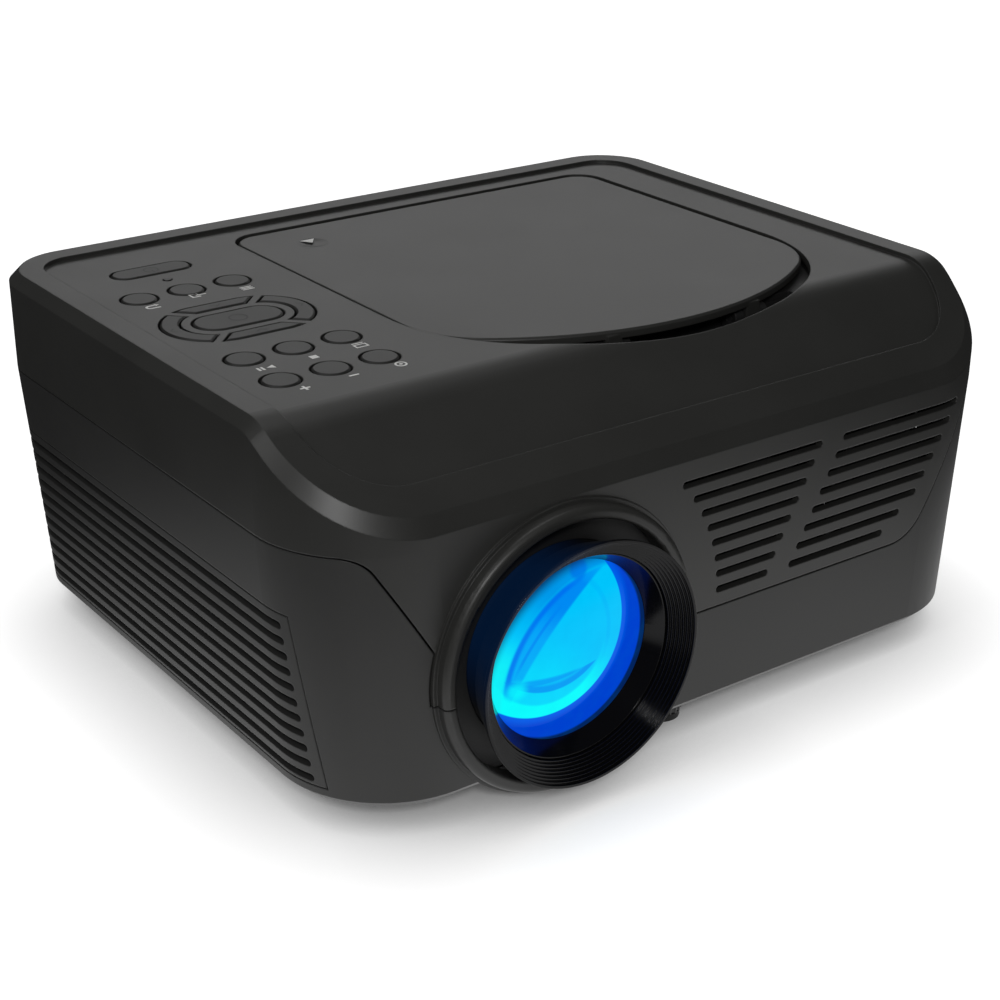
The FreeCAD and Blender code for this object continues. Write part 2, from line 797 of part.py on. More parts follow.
piece("lower_case", lower_case())
piece("side_grille_left", side_grille(-1))
piece("side_grille_right", side_grille(1))


# ---------------------------------------------------------------- disc lid and its hinge

lid_size = Sizes("lid_part", bevel=0.6, dimple_radius=25, dimple_depth=0.5, rib_inset=2.5, rib_wall=1.6,
                 rib_tall=2.5, clamp=11, clamp_wall=1.8)
hinge_part = Sizes("hinge_part", ear=3.5, ear_round=3, wall_room=1)
latch = Sizes("latch", side=51.1, tail=17.7, half=4.5, depth=12.3, plunger=2.5, plunger_depth=6.1,
              plunger_drop=0.25, pocket=1.7, hook_half=2.2, hook_start=7, hook_thick=2, barb=1.7,
              hook_drop=7.3, barb_tall=2.4, slot_half=2.8, slot_start=4.9, slot_end=9.5)

latch_x = lid_x - latch.side
latch_y = lid_rear - latch.tail
hook_front = latch_y + latch.hook_start
hook_rear = hook_front + latch.hook_thick
barb_low = lid_under - latch.hook_drop
rib_low = lid_under - lid_size.rib_tall
rib_round = well_round - lid_size.rib_inset
hinge_y = lid_front + hinge_setback
hinge_z = lid_top - hinge_drop
lug_spots = [lid_x + side * hinge_offset for side in (-1, 1)]
pin_length = lug_width + 2 * side_gap + 2 * hinge_part.ear


def disc_lid():
    plate = bevelled(prism([lid_plan(0)], "XY", lid_under, lid_thick), lid_top - 0.1, lid_size.bevel)
    lugs = [fuse(rod(hinge_boss, lug_width, x - lug_width / 2, hinge_y, hinge_z, "x"),
                 block(x - lug_width / 2, x + lug_width / 2, hinge_y - hinge_boss, hinge_y + hinge_boss,
                       hinge_z, lid_under + lid_thick / 2)) for x in lug_spots]
    height = lid_under + lid_thick / 2 - rib_low
    rib = turned(ring_loop(rib_round - lid_size.rib_wall, rib_round, 0, height),
                 lid_x, disc_y, rib_low)
    clamp = turned(ring_loop(lid_size.clamp - lid_size.clamp_wall, lid_size.clamp, 0, height),
                   lid_x, disc_y, rib_low)
    hook = block(latch_x - latch.hook_half, latch_x + latch.hook_half, hook_front, hook_rear,
                 barb_low, lid_under + lid_thick / 2)
    barb = block(latch_x - latch.hook_half, latch_x + latch.hook_half, hook_front - latch.barb,
                 hook_rear, barb_low, barb_low + latch.barb_tall)
    bores = [rod(hinge_pin + running_gap, lug_width + 2 * over, x - lug_width / 2 - over, hinge_y,
                 hinge_z, "x")
             for x in lug_spots]
    dimple = ball(lid_size.dimple_radius, latch_x, latch_y,
                  lid_top + lid_size.dimple_radius - lid_size.dimple_depth)
    return cut(fuse(plate, *lugs, rib, clamp, hook, barb), group(*bores), dimple)


piece("disc_lid", disc_lid())
piece("hinge_pins", group(*[rod(hinge_pin, pin_length, x - pin_length / 2, hinge_y, hinge_z, "x")
                            for x in lug_spots]))


# ---------------------------------------------------------------- disc tray and latch

deck = Sizes("deck", half=44, lead=23.5, tail=70, drop=16, thick=1.5, damper=4.5, damper_neck=3.2,
             damper_bore=1.6, damper_lip=1.5, damper_top=2, screw=1.3, screw_head=3, screw_head_tall=1.5,
             screw_long=8)
motor = Sizes("motor", radius=13, drop=3, shaft=1.5, shaft_rise=6)
table = Sizes("table", hub=5, rise=1.2, disc=13, disc_thick=2, dome=7.3, dome_rise=7.5, dome_round=2)
rail = Sizes("rail", x=20, radius=1.5, rise=6, lead=11.5, tail=68.5, block=3, block_rise=8)
sled = Sizes("sled", half=24, lead=17, long=14, gap=2.5, drop=4, arm=32, lens=3, lens_drop=1.5, recess=0.8)
drive = Sizes("drive", x=29, radius=1.25, motor=5, motor_lead=6.5, motor_long=16, end=69.5, base=4)

tray = Sizes("tray", grow=4, plate=2, recess=1.6, pocket_half=47.5, pocket_lead=1.4, pocket_depth=9.2,
             post=3.5, post_x=38, post_front=18.5, post_rear=64.5, pilot=1.6, shaft_gap=1.5, window=12,
             window_inset=2.5)

recess_level = lid_under - tray.recess
plate_low = recess_level - tray.plate
well_floor = ceiling - well_depth - over
pocket_front = lid_front - opening_lead - tray.pocket_lead
pocket_rear = hinge_y + hinge_boss + hinge_part.wall_room
deck_low = well_floor - deck.drop
deck_top = deck_low + deck.thick
deck_front = disc_y - deck.lead
deck_rear = disc_y + deck.tail
post_low = deck_top + deck.damper_top
motor_top = well_floor - motor.drop
shaft_top = well_floor + motor.shaft_rise
table_low = motor_top + side_gap
disc_low = well_floor + table.rise
dome_top = well_floor + table.dome_rise
rail_z = deck_top + rail.rise
rail_front = disc_y + rail.lead
rail_rear = disc_y + rail.tail
sled_front = disc_y + sled.lead
sled_rear = sled_front + sled.long
sled_low = deck_top + sled.gap
sled_high = well_floor - sled.drop
lens_top = well_floor - sled.lens_drop
lens_y = (sled_front + sled_rear) / 2
drive_front = disc_y - drive.motor_lead
drive_rear = drive_front + drive.motor_long
drive_end = disc_y + drive.end
pocket_floor = hinge_z - tray.pocket_depth
latch_low = plate_low - latch.depth
plunger_low = plate_low - latch.plunger_depth
post_front = disc_y - tray.post_front
post_rear = disc_y + tray.post_rear
deck_spots = [(lid_x + side * tray.post_x, y) for side in (-1, 1) for y in (post_front, post_rear)]


def hinge_ears():
    """Pairs of upright ears that hold the pins on both sides of each lug."""
    ears = []
    for x in lug_spots:
        for side in (-1, 1):
            middle = x + side * (lug_width / 2 + side_gap + hinge_part.ear / 2)
            start = middle - hinge_part.ear / 2
            upright = block(start, start + hinge_part.ear, hinge_y - hinge_part.ear_round,
                            hinge_y + hinge_part.ear_round, pocket_floor - over, hinge_z)
            top = rod(hinge_part.ear_round, hinge_part.ear, start, hinge_y, hinge_z, "x")
            ears.append(fuse(upright, top))
    return ears


def tray_blank():
    """Plate, bowl and hinge pocket with their hollows."""
    top = ceiling + margin
    roof = under_top(rim_step + wall + fit_gap)
    plate = through(opening_plan(tray.grow), plate_low, top)
    well = rod(well_round + tray_wall, plate_low + over - well_floor + tray_wall, lid_x, disc_y,
               well_floor - tray_wall)
    reach = tray.pocket_half + tray_wall
    pocket = block(lid_x - reach, lid_x + reach, pocket_front - tray_wall, pocket_rear + tray_wall,
                   pocket_floor - tray_wall, top)
    solid = common(fuse(plate, well, pocket), roof)
    hollow = [rod(well_round, well_depth + margin, lid_x, disc_y, well_floor),
              through(opening_plan(fit_gap), recess_level, top + over),
              block(lid_x - tray.pocket_half, lid_x + tray.pocket_half, pocket_front, pocket_rear,
                    pocket_floor, top + over),
              rod(motor.radius + tray.shaft_gap, tray_wall + 2 * over, lid_x, disc_y,
                  well_floor - tray_wall - over),
              block(lid_x - tray.window, lid_x + tray.window, disc_y,
                    disc_y + well_round - tray.window_inset,
                    well_floor - tray_wall - over, well_floor + over),
              rod(latch.plunger + fit_gap, tray.plate + 2 * over, latch_x, latch_y, plate_low - over),
              block(latch_x - latch.slot_half, latch_x + latch.slot_half, latch_y + latch.slot_start,
                    latch_y + latch.slot_end,
                    plate_low - over, recess_level + over)]
    return cut(solid, group(*hollow))


def tray_layer(low, high):
    """Slice of the plate and bowl between two levels."""
    return common(tray_parts, block(-half, half, front, rear, low, high, "TrayLayer"))


def posted(body, y, top):
    """Adds one row of posts for the drive, with a hole for a screw in each."""
    posts = [rod(tray.post, top - post_low, lid_x + side * tray.post_x, y, post_low) for side in (-1, 1)]
    pilots = [rod(tray.pilot, well_floor - tray_wall - post_low, lid_x + side * tray.post_x, y,
                  post_low - over) for side in (-1, 1)]
    return cut(fuse(body, *posts), group(*pilots))


def disc_bowl():
    """Bowl under the disc with the hinge pocket, its ears and the front posts."""
    holes = [rod(hinge_pin + running_gap, pin_length + 2 * over, x - pin_length / 2 - over, hinge_y,
                 hinge_z, "x")
             for x in lug_spots]
    body = cut(fuse(tray_layer(post_low, plate_low), *hinge_ears()), group(*holes))
    return posted(body, post_front, well_floor - over)


def latch_body():
    """Push-push catch under the rear corner of the tray."""
    box = block(latch_x - latch.half, latch_x + latch.half, latch_y - latch.half, latch_y + latch.half,
                latch_low, plate_low)
    bore = rod(latch.plunger + running_gap, plate_low - plunger_low + latch.pocket + over,
               latch_x, latch_y, plunger_low - latch.pocket)
    return cut(box, bore)


tray_parts = tray_blank()
piece("disc_tray", posted(tray_layer(plate_low, overall_height), post_rear, plate_low + over))
piece("disc_bowl", disc_bowl())
piece("latch_body", latch_body())
piece("latch_plunger", rod(latch.plunger, lid_under - latch.plunger_drop - plunger_low,
                           latch_x, latch_y, plunger_low))


# ---------------------------------------------------------------- disc deck

def deck_chassis():
    """Sprung plate that carries the motors and the guide rods."""
    plate = padded([rectangle(lid_x - deck.half, lid_x + deck.half, deck_front, deck_rear)], deck_low,
                   deck.thick)
    holes = [rod(deck.damper_neck + fit_gap, deck.thick + 2 * over, x, y, deck_low - over)
             for x, y in deck_spots]
    blocks = []
    for side in (-1, 1):
        for y in (rail_front - rail.block / 2, rail_rear - rail.block / 2):
            blocks.append(block(lid_x + side * rail.x - rail.block, lid_x + side * rail.x + rail.block, y,
                                y + rail.block, deck_top - over, deck_top + rail.block_rise))
    bearing = block(lid_x + drive.x - rail.block, lid_x + drive.x + rail.block, rail_rear - rail.block / 2,
                    rail_rear + rail.block / 2, deck_top - over, deck_top + rail.block_rise)
    bores = [rod(rail.radius + running_gap, deck_rear, lid_x + side * rail.x, rail_front - rail.block / 2,
                 rail_z, "y") for side in (-1, 1)]
    bores.append(rod(drive.radius + running_gap, deck_rear, lid_x + drive.x, drive_rear, rail_z, "y"))
    return cut(fuse(plate, *blocks, bearing), group(*holes), group(*bores))


def deck_damper(x, y):
    """Rubber grommet gripping the edge of its hole in the chassis."""
    loop = [(deck.damper_bore, -deck.damper_lip), (deck.damper, -deck.damper_lip), (deck.damper, 0),
            (deck.damper_neck, 0), (deck.damper_neck, deck.thick), (deck.damper, deck.thick),
            (deck.damper, deck.thick + deck.damper_top), (deck.damper_bore, deck.thick + deck.damper_top)]
    return turned(loop, x, y, deck_low)


def deck_screw(x, y):
    low = deck_low - deck.damper_lip - deck.screw_head_tall
    shank_start = deck_low - deck.damper_lip - deck.screw_head_tall / 2
    return fuse(rod(deck.screw_head, deck.screw_head_tall, x, y, low),
                rod(deck.screw, deck.screw_long + post_low - shank_start, x, y, shank_start))


def turntable():
    loop = [(motor.shaft + running_gap, 0), (table.hub, 0), (table.hub, disc_low - table_low),
            (table.disc, disc_low - table_low), (table.disc, disc_low + table.disc_thick - table_low),
            (table.dome, disc_low + table.disc_thick - table_low),
            (table.dome, dome_top - table.dome_round - table_low),
            (table.dome - table.dome_round, dome_top - table_low, table.dome - table.dome_round,
             dome_top - table.dome_round - table_low, 1),
            (0, dome_top - table_low), (0, shaft_top + fit_gap - table_low),
            (motor.shaft + running_gap, shaft_top + fit_gap - table_low)]
    return turned(loop, lid_x, disc_y, table_low)


def pickup_sled():
    base = block(lid_x - sled.half, lid_x + sled.half, sled_front, sled_rear, sled_low, sled_high)
    arm = block(lid_x, lid_x + sled.arm, lens_y - rail.block, lens_y + rail.block, sled_low, sled_high)
    bores = [rod(rail.radius + running_gap, deck_rear, lid_x + side * rail.x, sled_front - over, rail_z,
                 "y")
             for side in (-1, 1)]
    bores.append(rod(drive.radius + running_gap, deck_rear, lid_x + drive.x, sled_front - over, rail_z,
                     "y"))
    seat = rod(sled.lens + fit_gap, sled.recess + over, lid_x, lens_y, sled_high - sled.recess)
    return cut(fuse(base, arm), group(*bores), seat)


def sled_motor():
    can = rod(drive.motor, drive_rear - drive_front, lid_x + drive.x, drive_front, rail_z, "y")
    base = block(lid_x + drive.x - drive.base, lid_x + drive.x + drive.base, drive_front, drive_rear,
                 deck_top, rail_z)
    return fuse(can, base)


piece("deck_chassis", deck_chassis())
piece("deck_dampers", group(*[deck_damper(x, y) for x, y in deck_spots]))
piece("deck_screws", group(*[deck_screw(x, y) for x, y in deck_spots]))
piece("spindle_motor", fuse(rod(motor.radius, motor_top - deck_top, lid_x, disc_y, deck_top),
                            rod(motor.shaft, shaft_top - motor_top + over, lid_x, disc_y,
                                motor_top - over)))
piece("turntable", turntable())
piece("guide_rods", group(*[rod(rail.radius, rail_rear - rail_front, lid_x + side * rail.x, rail_front,
                                rail_z, "y")
                            for side in (-1, 1)]))
piece("pickup_sled", pickup_sled())
piece("pickup_lens", rod(sled.lens, lens_top - sled_high + sled.recess, lid_x, lens_y,
                         sled_high - sled.recess))
piece("lead_screw", rod(drive.radius, drive_end - drive_rear - side_gap, lid_x + drive.x,
                        drive_rear + side_gap, rail_z, "y"))
piece("sled_motor", sled_motor())


# ---------------------------------------------------------------- keys

cap = Sizes("key", flange=1.15, flange_tall=1.1, stem=1.5, stem_drop=4.3, bevel=0.5, rim=0.1, switch=2.2,
            switch_gap=0.8, board_left=25.4, board_right=26.6, board_front=60, board_rear=62, lamp=1.2,
            lamp_rise=0.2, lamp_flange=2.2, lamp_drop=4.8)
flange_high = ceiling - fit_gap
flange_low = flange_high - cap.flange_tall
stem_low = ceiling - cap.stem_drop
switch_top = stem_low - cap.switch_gap
lamp_low = ceiling - cap.lamp_drop


def key_cap(face, flange, x, y):
    """Cap through the panel, a flange that stops it from inside and a stem over its switch."""
    top = bevelled(through(face, flange_low, key_top), key_top - cap.rim, cap.bevel)
    return fuse(top, through(flange, flange_low, flange_high), rod(cap.stem, flange_high - stem_low,
                                                                          x, y, stem_low))


def wedge(angle, low, high):
    """Quarter of the pad that faces along an angle."""
    reach = 3 * pad_radius
    corner = block(0, reach, 0, reach, low, high)
    carrier = doc.addObject("Part::Compound", "Wedge")
    carrier.Links = [corner]
    return put(carrier, keys_x, pad_y, 0, (0, 0, 1), angle - 45)


def pad_shape(outer, inner, gap, angle, low, high):
    """One of the four navigation caps between the ring, the ribs and the outer edge."""
    field = cut(through(stadium(keys_x, pad_y, pad_reach, outer), low, high),
                through(stadium(keys_x, pad_y, pad_reach, inner), low - over, high + over),
                *[diagonal_bar(rib_width + 2 * gap, turn, low - over, high + over) for turn in (45, -45)])
    return common(field, wedge(angle, low, high))


def round_key(column, y):
    x = keys_x + key_pitch * column
    face = circle(x, y, key_hole - key_gap)
    flange = circle(x, y, key_hole - key_gap + cap.flange)
    return key_cap(face, flange, x, y)


def circle(x, y, radius):
    """Circle drawn as two half turns."""
    x, y = sized(x), sized(y)
    return [(x, y + radius, x, y, 1), (x, y - radius, x, y, 1)]


def pad_spot(angle):
    """Where the stem of a navigation cap stands."""
    reach = (pad_radius + ring_outer) / 2
    return keys_x + (reach + pad_reach) * cosine(angle), pad_y + reach * sine(angle)


def pad_key(angle):
    x, y = pad_spot(angle)
    top = bevelled(pad_shape(pad_radius - key_gap, ring_outer + key_gap, key_gap, angle, flange_low,
                             key_top),
                   key_top - cap.rim, cap.bevel)
    flange = pad_shape(pad_radius - key_gap + cap.flange, ring_outer - cap.flange + key_gap,
                       fit_gap - rib_width / 2,
                       angle, flange_low, flange_high)
    return fuse(top, flange, rod(cap.stem, flange_high - stem_low, x, y, stem_low))


def key_board():
    """Circuit board under the keys with one switch below each stem."""
    plate = padded([rectangle(keys_x - cap.board_left, keys_x + cap.board_right, pad_y - cap.board_front,
                              pad_y + cap.board_rear)],
                   board_top - key_board_thick, key_board_thick)
    spots = [(keys_x + key_pitch * column, y) for column, y in round_keys.values()]
    spots += [pad_spot(angle) for angle in pad_keys.values()]
    spots += [(keys_x, power_y), (keys_x, pad_y)]
    switches = [block(x - cap.switch, x + cap.switch, y - cap.switch, y + cap.switch, board_top - over,
                      switch_top)
                for x, y in spots]
    lamp = rod(cap.lamp, lamp_low - side_gap - board_top + over, keys_x, lamp_y, board_top - over)
    return fuse(plate, lamp, *switches)


for label, (column, y) in round_keys.items():
    piece(label, round_key(column, y))
for label, angle in pad_keys.items():
    piece(label, pad_key(angle))
piece("key_power", key_cap(stadium(keys_x, power_y, power_reach, power_radius - key_gap),
                           stadium(keys_x, power_y, power_reach, power_radius - key_gap + cap.flange),
                           keys_x, power_y))
piece("key_ok", key_cap(stadium(keys_x, pad_y, pad_reach, ring_inner - key_gap),
                        stadium(keys_x, pad_y, pad_reach, ring_inner - key_gap + cap.flange), keys_x,
                        pad_y))
piece("key_board", key_board())
piece("indicator_lens", fuse(rod(cap.lamp, panel_top + cap.lamp_rise - lamp_low, keys_x, lamp_y, lamp_low),
                             rod(cap.lamp_flange, flange_high - flange_low, keys_x, lamp_y, flange_low)))


# ---------------------------------------------------------------- projection lens

barrel = Sizes("barrel_part", rear=-26, flare=1.5, cone_grow=1.5, cone=3, lip_inset=0.6, lip=2, edge=0.9,
               mouth_inset=0.8, glass_inset=2.9, ridge_grow=3, ridge_level=7.4, shelf=4.1, seat_grow=1.8,
               seat=2.1, step=-0.8, bore_inset=2.6, throat=-10, throat_end=-20)
ridges = 7
glass = Sizes("glass", low=-0.5, edge=2, crown=4, radial=0.3, rear_radius=20, rear_low=-18, rear_edge=-13,
              rear_crown=2.5)
retainer = Sizes("retainer", lap=0.7, lip=0.4)
sleeve = Sizes("sleeve", wall=3, flange_grow=1.1, flange_thick=2, back=-34, end=-37, mouth=24, rim_grow=3.5)

cone_radius = barrel_tube + barrel.cone_grow
mouth_radius = barrel_lip - barrel.mouth_inset
glass_radius = barrel_tube - barrel.glass_inset
ridge_radius = glass_radius + barrel.ridge_grow
seat_radius = glass_radius + barrel.seat_grow
barrel_bore = glass_radius - barrel.bore_inset
sleeve_outer = barrel_tube + sleeve.wall
sleeve_face = -wall - fit_gap


def focus_ring():
    """Flared barrel with stepped light baffles inside its mouth."""
    loop = [(barrel_bore, barrel.rear), (barrel_tube, barrel.rear), (barrel_tube, barrel.flare),
            (cone_radius, barrel.cone), (barrel_lip - barrel.lip_inset, lens_stand_out - barrel.lip),
            (barrel_lip, lens_stand_out - barrel.edge),
            (barrel_lip, lens_stand_out)]
    narrow = (mouth_radius - ridge_radius) / ridges
    deep = (lens_stand_out - barrel.ridge_level) / (ridges + 1)
    for number in range(ridges + 1):
        radius = mouth_radius - narrow * number
        loop.append((radius, lens_stand_out - deep * number))
        loop.append((radius, lens_stand_out - deep * (number + 1)))
    loop += [(ridge_radius, barrel.shelf), (seat_radius, barrel.shelf), (seat_radius, barrel.seat),
             (glass_radius + glass.radial, barrel.seat),
             (glass_radius + glass.radial, barrel.step), (barrel_bore, barrel.step),
             (barrel_bore, barrel.throat),
             (glass.rear_radius + glass.radial, barrel.throat),
             (glass.rear_radius + glass.radial, barrel.throat_end),
             (barrel_bore, barrel.throat_end)]
    return turned(loop, lens_x, front, lens_z, "front", "FocusRing")


def lens_retainer():
    """Funnel ring between the stepped mouth and the front lens."""
    outer = ridge_radius - fit_gap
    narrow = seat_radius - fit_gap
    low = barrel.seat + fit_gap
    shelf = barrel.shelf + fit_gap
    return turned([(glass_radius - retainer.lap, low), (narrow, low), (narrow, shelf), (outer, shelf),
                   (outer, barrel.ridge_level), (outer - retainer.lip, barrel.ridge_level)],
                  lens_x, front, lens_z, "front", "LensRetainer")


def dome_glass(radius, low, edge, crown, name):
    """Disc whose front face swells by crown: an arc of one sphere."""
    bulge = (radius * radius + crown * crown) / (2 * crown)
    loop = [(0, low), (radius, low), (radius, edge), (0, edge + crown, 0, edge + crown - bulge, 1)]
    return turned(loop, lens_x, front, lens_z, "front", name)


def lens_sleeve():
    """Fixed tube that the barrel slides and turns in, trimmed flat above the floor."""
    inner = barrel_tube + running_gap
    brim = collar_bore + sleeve.flange_grow
    loop = [(inner, sleeve_face - sleeve.flange_thick), (brim, sleeve_face - sleeve.flange_thick),
            (brim, sleeve_face), (inner, sleeve_face)]
    flange = turned(loop, lens_x, front, lens_z, "front", "SleeveFlange")
    tube = turned([(inner, sleeve.back), (sleeve.mouth, sleeve.back), (sleeve.mouth, sleeve.end),
                   (sleeve_outer + sleeve.rim_grow, sleeve.end),
                   (sleeve_outer + sleeve.rim_grow, sleeve.back), (sleeve_outer, sleeve.back),
                   (sleeve_outer, sleeve_face), (inner, sleeve_face)],
                  lens_x, front, lens_z, "front", "SleeveTube")
    return common(fuse(tube, flange), block(-half, half, front, rear, floor_top + fit_gap, overall_height))


piece("focus_ring", focus_ring())
piece("lens_retainer", lens_retainer())
piece("front_lens", dome_glass(glass_radius, glass.low, glass.edge, glass.crown, "FrontLens"))
piece("rear_lens", dome_glass(glass.rear_radius, glass.rear_low, glass.rear_edge, glass.rear_crown,
                              "RearLens"))
piece("lens_sleeve", lens_sleeve())


# ---------------------------------------------------------------- light engine and cooling

engine = Sizes("engine", half=38, deep=99.5, half_tall=30, wall=2.5, mouth=24, foot=6, lcd=49.5,
               lcd_thick=2, field_front=40.5, field_rear=66.5, field_thick=1.5)
light = Sizes("light", board=1.6, chip=8, chip_deep=3, base=3.4, fins=28, half=30, down=23, up=27, fin=1.2,
              pitch=5.4)
fin_count = 12
fan = Sizes("fan", tail=6, deep=15, half=33.5, mouth=31.8, hub=14, spider=2.5, strut=2.5, pin=2,
            pin_lead=4.5, rotor_lead=2, rotor_gap=0.3, blade_reach=30, blade_half=4, blade_thick=1.2,
            blade_pitch=35, blade_root=12)
blade_count = 7

engine_front = front - sleeve.end
engine_rear = engine_front + engine.deep
engine_low = lens_z - engine.half_tall
engine_high = lens_z + engine.half_tall
sink_low = lens_z - light.down
sink_high = lens_z + light.up
fan_rear = rear - fan.tail
fan_front = fan_rear - fan.deep
pin_front = fan_front + fan.pin_lead
rotor_front = fan_front + fan.rotor_lead
rotor_rear = fan_rear - fan.spider - fan.rotor_gap


def engine_housing():
    """Box around the light path, open to the lens in front and to the lamp behind."""
    outer = block(lens_x - engine.half, lens_x + engine.half, engine_front, engine_rear, engine_low,
                  engine_high)
    room = block(lens_x - engine.half + engine.wall, lens_x + engine.half - engine.wall,
                 engine_front + engine.wall,
                 engine_rear + over, engine_low + engine.wall, engine_high - engine.wall)
    mouth = rod(engine.mouth, engine.wall + 2 * over, lens_x, engine_front - over, lens_z, "y")
    feet = [block(x, x + engine.foot, y, y + engine.foot, floor_top, engine_low + over)
            for x in (lens_x - engine.half, lens_x + engine.half - engine.foot)
            for y in (engine_front, engine_rear - engine.foot)]
    return fuse(cut(outer, room, mouth), *feet)


def light_panel(y, thick):
    """Plate across the inside of the housing."""
    reach = engine.half - engine.wall - fit_gap
    return block(lens_x - reach, lens_x + reach, y, y + thick, engine_low + engine.wall + fit_gap,
                 engine_high - engine.wall - fit_gap)


def heat_sink():
    start = engine_rear + light.board
    base = block(lens_x - light.half, lens_x + light.half, start, start + light.base, sink_low, sink_high)
    first = lens_x - light.half
    fins = [block(first + light.pitch * number, first + light.pitch * number + light.fin,
                  start + light.base / 2,
                  start + light.base + light.fins, sink_low, sink_high) for number in range(fin_count)]
    return fuse(base, *fins)


def fan_frame():
    middle = floor_top + fan.half
    body = block(lens_x - fan.half, lens_x + fan.half, fan_front, fan_rear, floor_top,
                 floor_top + 2 * fan.half)
    mouth = rod(fan.mouth, fan_rear - fan_front + 2 * over, lens_x, fan_front - over, middle, "y")
    hub = rod(fan.hub, fan.spider, lens_x, fan_rear - fan.spider, middle, "y")
    pin = rod(fan.pin, fan_rear - pin_front - over, lens_x, pin_front, middle, "y")
    level = block(lens_x - fan.half + over, lens_x + fan.half - over, fan_rear - fan.spider, fan_rear,
                  middle - fan.strut / 2, middle + fan.strut / 2)
    upright = block(lens_x - fan.strut / 2, lens_x + fan.strut / 2, fan_rear - fan.spider, fan_rear,
                    middle - fan.half + over, middle + fan.half - over)
    return fuse(cut(body, mouth), hub, pin, level, upright)


def fan_blade(number):
    blade = block(fan.blade_root, fan.blade_reach, -fan.blade_half, fan.blade_half, -fan.blade_thick / 2,
                  fan.blade_thick / 2)
    pitched = doc.addObject("Part::Compound", "Pitched")
    pitched.Links = [blade]
    put(pitched, 0, 0, 0, (1, 0, 0), fan.blade_pitch.value)
    carrier = doc.addObject("Part::Compound", "Blade")
    carrier.Links = [pitched]
    return put(carrier, lens_x, fan_middle_y, floor_top + fan.half, (0, 1, 0), 360 / blade_count * number)


def fan_rotor():
    hub = rod(fan.hub, rotor_rear - rotor_front, lens_x, rotor_front, floor_top + fan.half, "y")
    bore = rod(fan.pin + running_gap, rotor_rear - pin_front + over, lens_x, pin_front - fan.rotor_gap,
               floor_top + fan.half, "y")
    return cut(fuse(hub, *[fan_blade(number) for number in range(blade_count)]), bore)


fan_middle_y = (rotor_front + rotor_rear) / 2
piece("engine_housing", engine_housing())
piece("lcd_panel", light_panel(engine_front + engine.lcd, engine.lcd_thick))
piece("field_lenses", group(light_panel(engine_front + engine.field_front, engine.field_thick),
                            light_panel(engine_front + engine.field_rear, engine.field_thick)))
piece("led_board", fuse(block(lens_x - engine.half, lens_x + engine.half, engine_rear,
                              engine_rear + light.board,
                              engine_low, engine_high),
                        block(lens_x - light.chip, lens_x + light.chip, engine_rear - light.chip_deep,
                              engine_rear + over,
                              lens_z - light.chip, lens_z + light.chip)))
piece("heat_sink", heat_sink())
piece("fan_frame", fan_frame())
piece("fan_rotor", fan_rotor())


# ---------------------------------------------------------------- boards, sockets and speakers

chip = Sizes("chip", half=9, rise=2, spread=14, spread_rise=7, spread_y=-20, memory_y=15, coil_half=11,
             coil_rise=24, coil_y=20, can_radius=6, can_rise=26, can_y=-16, can_pitch=15)
jack = Sizes("jack", radius=2, pitch=9, depth=12, usb_shelf=1.8, tongue=1.2, shelf_depth=8)
speaker = Sizes("speaker", left=20, right=68, z=61, rim=18, ring=16, ring_deep=3, back=11, depth=22, dust=5,
                dust_deep=8)


def circuit_board(left, right, near):
    return block(left, right, near, board_rear, board_low, board_face)


def main_board():
    x = (board.main_left + board.main_right) / 2
    parts = [block(x - chip.half, x + chip.half, chip.memory_y - chip.half, chip.memory_y + chip.half,
                   board_face - over, board_face + chip.rise),
             block(x - chip.spread, x + chip.spread, chip.spread_y - chip.spread,
                   chip.spread_y + chip.spread,
                   board_face - over, board_face + chip.spread_rise)]
    return fuse(circuit_board(board.main_left, board.main_right, main_front), *parts)


def power_board():
    x = (board.power_left + board.power_right) / 2
    coil = block(x - chip.coil_half, x + chip.coil_half, chip.coil_y - chip.coil_half,
                 chip.coil_y + chip.coil_half,
                 board_face - over, board_face + chip.coil_rise)
    cans = [rod(chip.can_radius, chip.can_rise, x + side * chip.can_pitch / 2, chip.can_y,
                board_face - over)
            for side in (-1, 1)]
    return fuse(circuit_board(board.power_left, board.power_right, power_front), coil, *cans)


def socket(left, right, rise, shelf):
    """Open metal shell with a contact tongue in its mouth."""
    shell_box = block(left, right, port_front, port_rear, board_face, board_face + rise)
    room = block(left + over, right - over, port_rear - port.mouth, port_rear + over, board_face + over,
                 board_face + rise - over)
    middle = board_face + rise / 2
    tongue = block(left + shelf, right - shelf, port_rear - port.mouth - over, port_rear - over,
                   middle - jack.tongue / 2,
                   middle + jack.tongue / 2)
    return fuse(cut(shell_box, room), tongue)


def av_jacks():
    body = block(port.av_left, port.av_right, port_front, port_rear, board_face, board_face + port.av_rise)
    middle = (port.av_left + port.av_right) / 2
    holes = [rod(jack.radius, jack.depth + over, middle + side * jack.pitch / 2, port_rear - jack.depth,
                 board_face + port.av_rise / 2, "y") for side in (-1, 1)]
    return cut(body, *holes)


def power_inlet():
    """Two-pin mains inlet: a shaped well with two round pins."""
    body = block(inlet.x - inlet.half, inlet.x + inlet.half, port_front, port_rear, board_face,
                 board_face + inlet.rise)
    well = prism([stadium(inlet.x, inlet_z, inlet.reach, inlet.radius)], "XZ", port_rear - inlet.depth,
                 inlet.depth + over)
    pins = [rod(inlet.pin, inlet.pin_length + inlet.pin_root, inlet.x + side * inlet.pin_x,
                port_rear - inlet.depth - inlet.pin_root, inlet_z, "y") for side in (-1, 1)]
    return fuse(cut(body, well), *pins)


